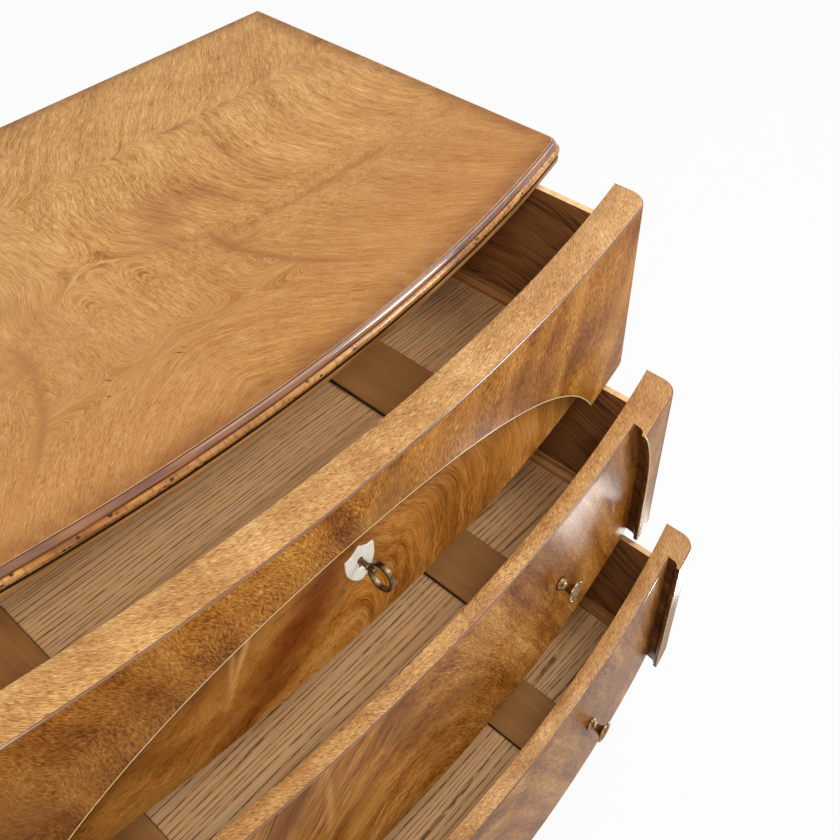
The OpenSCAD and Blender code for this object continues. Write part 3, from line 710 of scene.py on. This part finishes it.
def top_streaks(b, u, v, bend, side, knot):
    """Redder streaks on the spines, down the border of the arches, round the knot and at the ends."""
    cloud = b.noise(b.x.absolute(), b.y, 9, 24, 3)
    for spine, amount, start in ((SPINE_BACK, 0.80, 120), (SPINE_FRONT, 0.55, 96)):
        broken = b.smooth(cloud, 0.40, 0.60) * b.smooth(u, start, start + 40)
        near = b.math("EXPONENT", from_spine(v, spine, bend) * -0.26)
        b.paint(near * broken * amount, (136, 78, 42))
    border = bell(b, side + 2, 4.5) * b.smooth(v, -235, -262) * b.smooth(v, -385, -330)
    b.paint(border * 0.55, (138, 80, 44))
    b.paint(bell(b, knot - 11, 3) * 0.25, (150, 92, 52))
    swirl = bell(b, from_point(b, u, v, SWIRL), 44)
    b.paint(swirl * b.smooth(cloud, 0.36, 0.62) * 0.62, (146, 86, 46))
    inwards = 343 - u
    curve = v + 92 + inwards * 0.10 + inwards * inwards * 0.0044 + bend * 0.10
    dark_end = b.math("EXPONENT", curve.absolute() * -0.28) * b.smooth(u, 262, 282)
    b.paint(dark_end * b.smooth(cloud, 0.34, 0.56) * 0.75, (122, 72, 36))


def top_wear(b, u, v):
    """Burnish towards the edges of the top, small black marks and dents."""
    # How far the bowed front edge lies back at u
    bow = u * u * 0.000374
    edge = b.math("MAXIMUM", b.smooth(u, 322, 347), b.smooth(v, -16, 2))
    edge = b.math("MAXIMUM", edge, b.smooth(v - bow, -382, -410))
    mottled = b.smooth(b.noise(b.x.absolute(), b.y, 6, 60, 3), 0.30, 0.66, 0.55, 1)
    b.paint(edge * mottled * 0.74, (118, 66, 28))
    for x, y, long, wide, turn in TOP_MARKS:
        across = (b.x * 1000 - x) - (v - y) * turn
        mark = (across / wide).power(2) + ((v - y) / long).power(2)
        b.paint(b.math("EXPONENT", -mark) * 0.85, (48, 26, 14))
    dents = specks(b, b.x * 2 + b.y, b.y - b.x * 0.4, 34, 0.045, 0.22)
    b.paint(dents * 0.75, (60, 30, 16))


def top_veneer():
    """Book-matched feather figure: two spines across the top, a knot, and a seam at x = 0."""
    b = Book("veneer_top_figured")
    u = b.x.absolute() * 1000
    v = (b.y - BACK) * 1000
    phi, along, bend, side, knot = top_figure(b, u, v)
    thin, dashes = figured(
        b, phi, along, TOP_STOPS, 1, broad=0.28, lines=0.40, fine=0.95,
        dark=(112, 68, 32), pores=0.55, curl=1.6)
    top_ticks(b, phi, along, v)
    top_streaks(b, u, v, bend, side, knot)
    # The two halves differ a little in tone, as matched leaves do
    b.paint(b.math("LESS_THAN", b.x, 0) * 0.22, (222, 172, 112))
    # Deeper towards the front
    deep = b.smooth(v, -150, -340) * 0.48 + b.smooth(u, 90, 330) * 0.10
    b.paint(deep, (150, 92, 42))
    top_wear(b, u, v)
    b.bump(thin * 0.5 - dashes * 0.5, 0.08, 0.0002)
    return b.finish(thin * 0.10 + 0.36, 0.15)


def front_figure(b, kind, seed):
    """Contours of the figure on a front: kind says how the lines run."""
    s = b.x * 1000
    w = b.z * 1000
    u = s.absolute()
    mu = b.x.absolute() if kind == "upright" else b.x
    bend = warp(b, mu, b.z, 8, 70, seed) + warp(b, mu, b.z, 22, 12, seed + 4)
    if kind == "upright":
        return u - w * 0.40 + bend, w * 0.9 + u * 0.3
    if kind == "arches":
        # Nested arches that fall away from the seam, faster on the right
        right = b.math("GREATER_THAN", b.x, 0)
        steep, reach = right * 0.9 + 1.3, 80 - right * 13
        fall = (b.math("SQRT", u * u + reach * reach) - reach) * steep
        return w + fall + bend * 0.8, s * 0.8 - w * 0.4
    # A slope of lines on the left that turns into arcs round a point under the keyhole
    rise = w * 0.9 - s * 0.35
    du, dw = s + 25, (w - 505) * 1.1
    arcs = b.math("SQRT", du * du + dw * dw) + 440
    return rise + (arcs - rise) * b.smooth(s, -24, 24) + bend, s * 0.93 + w * 0.36


def front_veneer(name, kind, seed, stops, patches=(), specular=0.05):
    """A drawer front's veneer, with patches as in RECESS_PATCHES."""
    b = Book(name)
    phi, along = front_figure(b, kind, seed)
    thin, dashes = figured(
        b, phi, along, stops, seed, broad=0.60, lines=0.22, fine=0.66 if kind == "fan" else 1.10,
        dark=(76, 38, 12), pores=0.62, curl=4.6)
    cloud = b.noise(b.x, b.z, seed + 20, 11, 3)
    b.paint(b.smooth(cloud, 0.50, 0.66) * 0.42, (116, 64, 20))
    b.paint(b.smooth(cloud, 0.46, 0.32) * 0.32, (214, 154, 76))
    # Painted shade: a little darker towards the left end, where less light falls
    b.paint(b.smooth(b.x, -0.02, -0.30) * 0.56, (98, 50, 12))
    for x, z, width, height, lean, amount, tint in patches:
        du, dv = b.x * 1000 - x, b.z * 1000 - z
        across = (du - dv * lean) / width + (cloud - 0.5) * 2.2
        blot = b.math("EXPONENT", -(across * across + (dv / height).power(2)))
        frayed = b.smooth(thin, 0.34, 0.60, 0.55, 1)
        mode = "MIX" if tint == FLAME else "MULTIPLY"
        b.paint(blot * frayed * amount, tint, mode)
    # Painted shade: where the rounded ends look to the right they are painted darker, and they are duller
    # there
    end = b.smooth(b.nx, 0.35, 0.85)
    b.paint(end * 0.75, (84, 44, 16))
    b.bump(thin * 0.5 - dashes * 0.5, 0.08, 0.0002)
    return b.finish(thin * 0.10 + end * 0.25 + 0.27, specular)


def edge_grain(name, stops, seed):
    """Top edges of the fronts: pale, with short fine strokes that cross the edge at a slant, and painted
    shade towards the right.
    """
    b = Book(name)
    # Distance along and across the bowed edge
    s = b.x * 1000
    w = b.y * 1000 - s * s * 0.00031
    wander = warp(b, b.x, b.y, 9, 30, seed) + warp(b, b.x, b.y, 30, 5, seed + 2)
    across = w + s * 0.26 - s * s * 0.0011 + wander
    along = s - w * 0.3
    grain = b.noise(across * 0.22, along * 0.030, seed)
    flecks = b.noise(across * 1.5, along * 0.20, seed + 4, 1, 3, 0.65)
    broad = b.noise(b.x, b.y, seed + 8, 22)
    tone = (grain - 0.5) * 0.55 + (flecks - 0.5) * 2.1 + (broad - 0.5) * 0.8 + 0.5
    b.colour = b.ramp(tone, stops)
    pores = b.noise(across * 1.7, along * 0.26, seed + 12, 1, 1)
    b.paint(b.smooth(pores, 0.55, 0.66) * 0.72, (118, 68, 32))
    # Painted shade: darker towards the right end, where the lamps light the edges most.
    b.paint(b.smooth(b.x, 0.12, 0.34) * 0.22, (150, 98, 48))
    b.bump(flecks, 0.08, 0.0002)
    return b.finish(0.42, 0.3)


def oak(name, along, stops, seed, pitch=1, rough=0.55, contrast=1):
    """Open-grained straight wood whose grain runs along the axis named by along."""
    b = Book(name)
    axes = {"x": b.x, "y": b.y, "z": b.z}
    run = axes.pop(along)
    first, second = axes.values()
    across = first + second * 0.6
    wander = b.noise(run * 3, across * 9, seed) * 0.012
    phi = across + wander
    rings = b.noise(phi * 230 * pitch, run * 1.4, seed + 2, 1, 2, 0.6)
    streaks = b.noise(phi * 620 * pitch, run * 9, seed + 5, 1, 3, 0.6)
    pores = b.noise(phi * 900 * pitch, run * 42, seed + 9)
    broad = b.noise(phi * 26, run, seed + 12)
    tone = rings * 0.45 + streaks * 0.35 + broad * 0.25
    tone = b.smooth(tone, 0.525 - 0.14 * contrast, 0.525 + 0.14 * contrast)
    b.colour = b.ramp(tone, stops)
    dark = b.smooth(pores, 0.56, 0.70) * b.smooth(rings, 0.60, 0.42)
    b.paint(dark * 0.6, (60, 40, 22))
    b.bump(streaks * 0.5 - dark * 0.6, 0.25, 0.0004)
    return b.finish(rough, 0.15)


def drawer_side_wood(name, seed):
    """Drawer sides: brown with thin arched lines inside, and painted light on the upper edge, which is
    painted pale.
    """
    b = Book(name)
    wander = warp(b, b.y, b.z, 9, 0.03, seed)
    hill = (b.y + 0.05) * (b.y + 0.05) * 1.6
    phi = (b.z + hill + wander) * 1000
    run = b.y * 1000
    bands = b.noise(phi * 0.075, run * 0.003, seed + 1)
    fine = b.noise(phi * 0.9, run * 0.030, seed + 2, 1, 2, 0.6)
    b.colour = b.ramp(b.smooth(bands * 0.3 + fine * 0.7, 0.36, 0.64), SIDE_STOPS)
    rings = b.noise(phi * 0.16, run * 0.006, seed + 6, 1, 1)
    lines = b.smooth((rings - 0.5).absolute(), 0.045, 0.010)
    b.paint(lines * 0.72, (68, 38, 18))
    # Painted light: faces that look up, the upper edges, are painted pale as if lit.
    pale = b.ramp(fine, [(0.3, (206, 164, 112)), (0.7, (232, 196, 146))])
    b.paint(b.smooth(b.nz, 0.6, 0.9), pale)
    b.bump(fine, 0.15, 0.0003)
    return b.finish(0.5, 0.3)


def muntin_wood():
    """Broad bars between the panels: smooth brown wood, with painted shade on their sides beside each
    panel.
    """
    b = Book("oak_muntin")
    run, across = b.y * 1000, b.x * 1000
    fine = b.noise(across * 0.9, run * 0.030, 2, 1, 3, 0.6)
    broad = b.noise(across * 0.06, run * 0.012, 4)
    b.colour = b.ramp((fine - 0.5) * 0.9 + (broad - 0.5) * 0.8 + 0.5, MUNTIN_STOPS)
    # Painted shade: the sides that face the panels are painted near black.
    b.paint(b.smooth(b.nx.absolute(), 0.25, 0.70), (44, 24, 14))
    b.bump(fine, 0.12, 0.0003)
    return b.finish(0.42, 0.3)


def open_oak(name, seed, pitch):
    """Bottom panels: grain along x with a row of thin dark pores about every pitch millimetres."""
    b = Book(name)
    run = b.x * 1000
    across = b.y * 1000 + warp(b, b.x, b.y, 3, 20, seed) + b.z * 300
    drift = b.noise(across * (0.35 / pitch), run * 0.0016, seed + 1, 1, 1)
    rows = b.math("COSINE", across * (2 * math.pi / pitch) + drift * 22)
    broad = b.noise(across * 0.045, run * 0.003, seed + 3)
    fine = b.noise(across * 1.1, run * 0.035, seed + 5, 1, 2, 0.6)
    tone = (broad - 0.5) * 0.7 + fine - rows * 0.10
    b.colour = b.ramp(tone, PANEL_STOPS)
    breaks = b.noise(across * 0.9, run * 0.07, seed + 9, 1, 1)
    lines = b.smooth(rows, 0.66, 0.98) * b.smooth(breaks, 0.36, 0.54)
    b.paint(lines * (broad * 0.8 + 0.45), PANEL_DARK)
    hair = b.noise(across * 1.3, run * 0.012, seed + 14, 1, 1)
    b.paint(b.smooth(hair, 0.56, 0.68) * 0.40, PANEL_DARK)
    b.bump(fine * 0.4 - lines, 0.25, 0.0003)
    return b.finish(0.55, 0.25)


def moulding_wood(name, stops, rough, seed=0, speck_share=0, coat=0, coat_ior=1.9):
    """Polished wood of the mouldings, with dents where speck_share is above 0."""
    b = Book(name)
    across = b.z - b.y * 0.4
    grain = b.noise(across * 700, b.x * 18, seed, 1, 3, 0.6)
    broad = b.noise(across * 90, b.x * 12, seed + 3)
    tone = b.smooth(grain * 0.5 + broad * 0.5, 0.36, 0.64)
    b.colour = b.ramp(tone, stops)
    if speck_share:
        marks = specks(b, b.x * 0.7, b.z * 1.5 + b.y * 0.2, 240, 0.36, speck_share, seed)
        patch = b.smooth(b.noise(b.x, b.y, 4, 26), 0.42, 0.52)
        mottle = b.noise(b.x, across, 9, 300, 3, 0.6)
        b.paint(b.smooth(mottle, 0.46, 0.62) * 0.55, (112, 62, 26))
        b.paint(marks * patch, (24, 12, 6))
    b.bump(grain, 0.015 if coat else 0.05, 0.0002)
    return b.finish(rough, 0.1 if coat else 0.5, coat=coat, coat_ior=coat_ior)


def under_board_wood():
    """The thin board under the top, with a painted shadow line where it meets the bead above."""
    b = Book("under_board_edge")
    grain = b.noise(b.z * 500, b.x * 16, b.y * 30, 1, 2, 0.6)
    b.colour = b.ramp(grain, [(0.3, (120, 74, 38)), (0.7, (184, 132, 78))])
    # Painted shadow: a near-black band along the upper edge stands for the shade of the gap under the
    # bead. The band is also rougher.
    painted_gap_shade = b.smooth(b.z * 1000, HEIGHT - TOP_T - 1.7, HEIGHT - TOP_T - 1.1)
    b.paint(painted_gap_shade, (26, 14, 8))
    b.bump(grain, 0.1, 0.0002)
    return b.finish(painted_gap_shade * 0.4 + 0.4, 0.1)


def brass(name, dark, light, rough):
    b = Book(name)
    cloud = b.noise(b.x, b.y, b.z, 260, 3, 0.6)
    b.colour = b.ramp(b.smooth(cloud, 0.36, 0.64), [dark, light])
    scratches = b.noise(b.x * 900, b.y * 900, b.z * 3000)
    b.bump(scratches, 0.05, 0.0001)
    return b.finish(cloud * 0.14 + rough, metallic=1)


def bone_material():
    b = Book("bone_satin")
    cloud = b.noise(b.x, b.y, b.z * 0.4, 180)
    b.colour = b.ramp(cloud, [(0.3, (248, 240, 220)), (0.7, (255, 252, 240))])
    b.bump(cloud, 0.05, 0.0002)
    return b.finish(0.35)


def felt_material():
    b = Book("felt_dark")
    fuzz = b.noise(b.x, b.y, b.z, 1800, 3)
    b.colour = b.ramp(fuzz, [(0.3, (26, 24, 22)), (0.7, (52, 48, 44))])
    b.bump(fuzz, 0.5, 0.0005)
    return b.finish(0.95, 0.1)


# Small black marks in the top: x, distance from the back edge, half length, half width, lean
TOP_MARKS = [
    (-12, -335, 2.6, 0.7, -0.8), (-7, -333, 1.8, 0.6, -0.6), (-57, -322, 1.8, 0.7, -0.4),
    (-65, -334, 1.6, 0.6, -0.5)]
# Colour ramps
TOP_STOPS = [
    (0, (140, 88, 38)), (0.30, (184, 130, 66)), (0.55, (209, 156, 90)),
    (0.78, (224, 175, 108)), (1, (240, 197, 132))]
FRONT_STOPS = [
    (0, (100, 50, 12)), (0.3, (158, 94, 32)), (0.55, (196, 128, 54)),
    (0.8, (216, 152, 76)), (1, (238, 184, 110))]
EDGE_STOPS = [(0, (116, 70, 30)), (0.35, (170, 120, 64)), (0.6, (196, 148, 88)), (1, (230, 192, 136))]
PANEL_STOPS = [(0, (214, 158, 100)), (0.4, (242, 186, 128)), (0.7, (252, 204, 148)), (1, (255, 220, 170))]
PANEL_DARK = (112, 72, 42)
SIDE_STOPS = [(128, 80, 42), (148, 96, 52), (166, 112, 64)]
MUNTIN_STOPS = [(0, (150, 98, 52)), (0.4, (178, 122, 68)), (0.7, (194, 138, 80)), (1, (212, 160, 102))]
CASE_STOPS = [(0, (108, 60, 26)), (0.4, (158, 98, 48)), (0.7, (184, 122, 64)), (1, (206, 148, 88))]
FACE_STOPS = [
    (0, (86, 42, 8)), (0.3, (142, 82, 24)), (0.55, (178, 114, 42)),
    (0.8, (200, 138, 60)), (1, (226, 172, 94))]
RAIL_STOPS = [(120, 84, 50), (160, 120, 78), (190, 152, 108)]
# Patches of the figure in the recess, as (x, z, width, height, lean, amount, colour), in mm.
# FLAME is laid over the figure, the other colours darken it.
RED, FLAME, BROWN = (166, 120, 96), (242, 186, 104), (190, 158, 130)
RECESS_PATCHES = {
    "top": [
        (-60, 532, 34, 56, 0.9, 1, RED), (-20, 575, 20, 32, 0.9, 0.75, RED),
        (-140, 560, 40, 30, 0.5, 0.75, RED), (-96, 556, 2.6, 32, 0.45, 0.62, FLAME),
        (-84, 574, 2.2, 22, 0.60, 0.50, FLAME), (-106, 548, 2, 22, 0.20, 0.45, FLAME)],
    "middle": [
        (-12, 392, 16, 46, 0.5, 0.35, BROWN), (62, 376, 12, 50, -0.7, 0.50, BROWN),
        (-92, 430, 3, 50, 0.1, 0.45, FLAME)],
    "bottom": [(40, 220, 20, 46, 0.5, 0.40, BROWN)],
}


def dress_nodes(names, material, bevel=0.5):
    """Gives carried-over nodes their material and edges rounded by bevel, in millimetres."""
    for name in names.split():
        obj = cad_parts[name]
        obj.data.materials.clear()
        obj.data.materials.append(material)
        for polygon in obj.data.polygons:
            polygon.material_index = 0
        if bevel:
            weld = obj.modifiers.new("weld", "WELD")
            weld.merge_threshold = 0.00001
            rounding = obj.modifiers.new("round", "BEVEL")
            rounding.width = bevel * MM
            rounding.segments = 2
            rounding.limit_method = "ANGLE"
            rounding.angle_limit = math.radians(40)


def dress_top():
    quirk = moulding_wood("quirk_dark", [(70, 36, 18), (104, 60, 30)], 0.3)
    thumb = moulding_wood("thumb_polished", [
        (84, 42, 18), (116, 66, 30), (144, 90, 44)], 0.16, 5, coat=1, coat_ior=1.75)
    step = moulding_wood("arris_polished", [(84, 44, 20), (120, 72, 36)], 0.16, 6)
    bead = moulding_wood("bead_distressed", [
        (128, 80, 34), (170, 114, 54), (204, 150, 82)], 0.22, 7, speck_share=0.80, coat=0.3)
    pale = moulding_wood("quirk_line_pale", [(190, 146, 100), (226, 190, 150)], 0.25)
    top = build_top([top_veneer(), quirk, thumb, step, bead, pale])
    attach(top, "case")
    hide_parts("top_board")


def dress_fronts():
    # cove_dark is painted shade: the hollow under the lip is painted darker than the veneer.
    cove = moulding_wood("cove_dark", [(58, 30, 14), (92, 52, 24), (126, 78, 38)], 0.3, 2)
    # lip_pale is a painted highlight: the lip's rounded edge along the arch is painted pale.
    lip = moulding_wood("lip_pale", [(232, 190, 124), (250, 220, 160)], 0.35, 3)
    upper = edge_grain("front_edge_grain", EDGE_STOPS, 1)
    rear = oak("front_rear_wood", "x", CASE_STOPS, 4, pitch=0.7)
    gloss = moulding_wood("front_arris_polished", [(96, 58, 28), (136, 88, 46)], 0.10, 8, coat=1)
    # lip_dark paints a dark line beside the lip, partly a glue line and partly painted shade, and along
    # the top of the fronts' upper arris.
    line = moulding_wood("lip_dark", [(84, 48, 20), (112, 70, 32)], 0.35, 9)
    for index, (which, figure) in enumerate((("top", "fan"), ("middle", "arches"), ("bottom", "arches"))):
        seed = 3 + 5 * index
        face = front_veneer("veneer_face_" + which, "upright", seed, FACE_STOPS)
        end = front_veneer("veneer_end_" + which, "upright", seed, FACE_STOPS, specular=0)
        field = front_veneer(
            "veneer_recess_" + which, figure, 6.5 + 7 * index, FRONT_STOPS, RECESS_PATCHES[which])
        materials = [face, field, cove, lip, upper, rear, end, gloss, line]
        if which == "top":
            front = build_front_top(materials)
        else:
            front = build_front_plan("front_figured_" + which, which, materials)
        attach(front, "drawer_" + which)
        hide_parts("front_" + which)


def dress_hardware():
    """Brass and bone."""
    knob_brass = brass("brass_knob", (112, 86, 56), (164, 132, 92), 0.24)
    key_brass = brass("brass_key", (88, 70, 48), (128, 104, 76), 0.30)
    for which in ("middle", "bottom"):
        knobs = build_knobs("knobs_turned_" + which, which, knob_brass)
        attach(knobs, "drawer_" + which)
        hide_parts("knobs_" + which)
    dress_nodes("knob_screws_middle knob_screws_bottom", knob_brass, 0)
    key = build_key(key_brass)
    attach(key, "key")
    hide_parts("key")
    dress_nodes("lock_case lock_bolt", key_brass, 0.3)
    dress_nodes("shield", bone_material(), 0.2)


def dress_boxes():
    muntin = muntin_wood()
    slip = oak("oak_slip", "y", MUNTIN_STOPS, 3, pitch=1.2)
    back_wood = oak("oak_back", "x", MUNTIN_STOPS, 5)
    for index, (which, pitch) in enumerate((("top", 3.6), ("middle", 5.6), ("bottom", 5.6))):
        side = drawer_side_wood("side_wood_" + which, 2 + index * 3)
        dress_nodes("box_left_%s box_right_%s" % (which, which), side)
        dress_nodes("box_back_" + which, back_wood)
        dress_nodes("panels_" + which, open_oak("oak_panel_" + which, 1 + index, pitch))
        dress_nodes("muntins_" + which, muntin, 1.2)
        dress_nodes("slips_" + which, slip)


def dress_case():
    dress_nodes("side_left side_right post_left post_right", oak(
        "case_veneer", "z", CASE_STOPS, 7, pitch=0.35, rough=0.32, contrast=0.8))
    dress_nodes("rail_upper rail_lower plinth_front plinth_back", oak(
        "case_rail", "x", CASE_STOPS, 8, pitch=0.6, rough=0.4))
    dress_nodes("plinth_left plinth_right", oak(
        "case_plinth_side", "y", CASE_STOPS, 8, pitch=0.6, rough=0.4))
    runner_wood = oak("case_runner", "y", RAIL_STOPS, 9)
    for which in DRAWERS:
        dress_nodes("runner_%s_left runner_%s_right" % (which, which), runner_wood)
    dress_nodes("back_panel", oak("case_back", "z", RAIL_STOPS, 10))
    dress_nodes("bottom_board", oak("case_bottom", "x", RAIL_STOPS, 11))
    dress_nodes("sub_top", under_board_wood(), 0)
    dress_nodes("foot_front_left foot_front_right foot_back_left foot_back_right", moulding_wood(
        "foot_dark", [(70, 36, 18), (120, 72, 38)], 0.35, 12), 1)
    dress_nodes("glides", felt_material(), 0)


# Studio

def seen_rays(tree):
    """Socket that is 1 where a camera, glossy or transmission ray looks, for floor and world."""
    path = tree.nodes.new("ShaderNodeLightPath")
    seen = path.outputs["Is Camera Ray"]
    for ray in ("Is Glossy Ray", "Is Transmission Ray"):
        both = tree.nodes.new("ShaderNodeMath")
        both.operation = "MAXIMUM"
        tree.links.new(seen, both.inputs[0])
        tree.links.new(path.outputs[ray], both.inputs[1])
        seen = both.outputs[0]
    return seen


def blend_shaders(tree, share, first, second, output):
    """Sends first, blended with second by share, to the tree's output node."""
    blend = tree.nodes.new("ShaderNodeMixShader")
    for socket, place in zip((share, first, second), blend.inputs):
        tree.links.new(socket, place)
    tree.links.new(blend.outputs[0], tree.nodes[output].inputs[0])


def studio_floor():
    """A pale floor that glows white where it is seen and keeps a faint shadow."""
    size, glow_share = 14, 0.95
    mesh = bpy.data.meshes.new("studio_floor")
    corners = [(-size, -size, 0), (size, -size, 0), (size, size, 0), (-size, size, 0)]
    mesh.from_pydata(corners, [], [(0, 1, 2, 3)])
    floor = add_object("studio_floor", mesh)
    b = Book("floor_pale")
    grain = b.noise(b.x, b.y, 0, 3)
    b.colour = b.ramp(grain, [(202, 202, 202), (206, 206, 206)])
    b.finish(0.9, 0.1)
    glow = b.tree.nodes.new("ShaderNodeEmission")
    glow.inputs["Color"].default_value = (1, 1, 1, 1)
    share = Value(b, seen_rays(b.tree)) * glow_share
    blend_shaders(b.tree, share.socket, b.shader.outputs[0], glow.outputs[0], "Material Output")
    mesh.materials.append(b.material)


def studio_world():
    """Soft light from all round, behind a white background."""
    world = bpy.data.worlds.new("studio")
    bpy.context.scene.world = world
    world.use_nodes = True
    tree = world.node_tree
    fill = tree.nodes["Background"]
    sight = tree.nodes.new("ShaderNodeBackground")
    for background, strength in ((fill, 0.36), (sight, 1)):
        background.inputs["Color"].default_value = (1, 1, 1, 1)
        background.inputs["Strength"].default_value = strength
    blend_shaders(tree, seen_rays(tree), fill.outputs[0], sight.outputs[0], "World Output")


WARM = (1, 0.99, 0.97)
WHITE = (1, 1, 1)
# Each light's name, place, target, width, height, power and colour. Three stand in front at about
# the camera's height and reach into the drawers, one hangs at the right and one behind.
# low_card is a small reflector for the blurred bright patch on the middle front.
LIGHTS = [
    ("soft_camera", (-0.40, -0.50, 1.13), (0, -0.10, 0.50), 0.26, 0.26, 3.2, WARM),
    ("soft_key", (0.60, -0.52, 1.12), (0, -0.10, 0.50), 0.26, 0.26, 3.2, WARM),
    ("soft_over", (1.45, -0.05, 2), (1.05, -0.05, 0), 1.1, 2.1, 15.5, WARM),
    ("soft_front", (1.05, -1.00, 1.15), (0.1, -0.2, 0.40), 0.30, 0.30, 2.5, WARM),
    ("soft_behind", (-1.9, 1.3, 1.6), (0, 0, 0.5), 1.4, 1.2, 5, WHITE),
    ("low_card", (0.472, -0.316, 0.10), (0.472, -0.316, 1), 0.08, 0.12, 0.75, WHITE)]


def studio_lights():
    for name, place, target, width, height, power, colour in LIGHTS:
        data = bpy.data.lights.new(name, "AREA")
        data.shape = "RECTANGLE"
        data.size = width
        data.size_y = height
        data.energy = power
        data.color = colour
        light = add_object(name, data)
        light.location = place
        direction = Vector(target) - Vector(place)
        light.rotation_euler = direction.to_track_quat("-Z", "Y").to_euler()
        light.visible_camera = False
        light.visible_diffuse = name != "low_card"


def photo_camera():
    """The camera of the photograph, as fitted to its edges and corners."""
    # Focal length, principal point and picture side in pixels, then the turn as axis times angle
    focal, px, py, side, sensor = 1038.501, 433.803, 379.047, 840, 36
    turn = Vector((2.1678885574, -0.9755547419, 0.3845154506))
    place = Vector((-257.464, -787.593, 446.785 + HEIGHT)) * MM + Vector((0, BACK, 0))
    right, down, ahead = Matrix.Rotation(turn.length, 3, turn.normalized())
    data = bpy.data.cameras.new("photo_camera")
    data.sensor_width = sensor
    data.lens = focal / side * sensor
    data.shift_x = (side / 2 - px) / side
    data.shift_y = (py - side / 2) / side
    data.clip_start = 0.05
    camera = add_object("photo_camera", data)
    axes = Matrix((right, -down, -ahead)).transposed()
    camera.matrix_world = Matrix.Translation(place) @ axes.to_4x4()
    bpy.context.scene.camera = camera


dress_top()
dress_fronts()
dress_hardware()
dress_boxes()
dress_case()
studio_floor()
studio_world()
studio_lights()
photo_camera()
bpy.context.scene.view_settings.view_transform = "Standard"
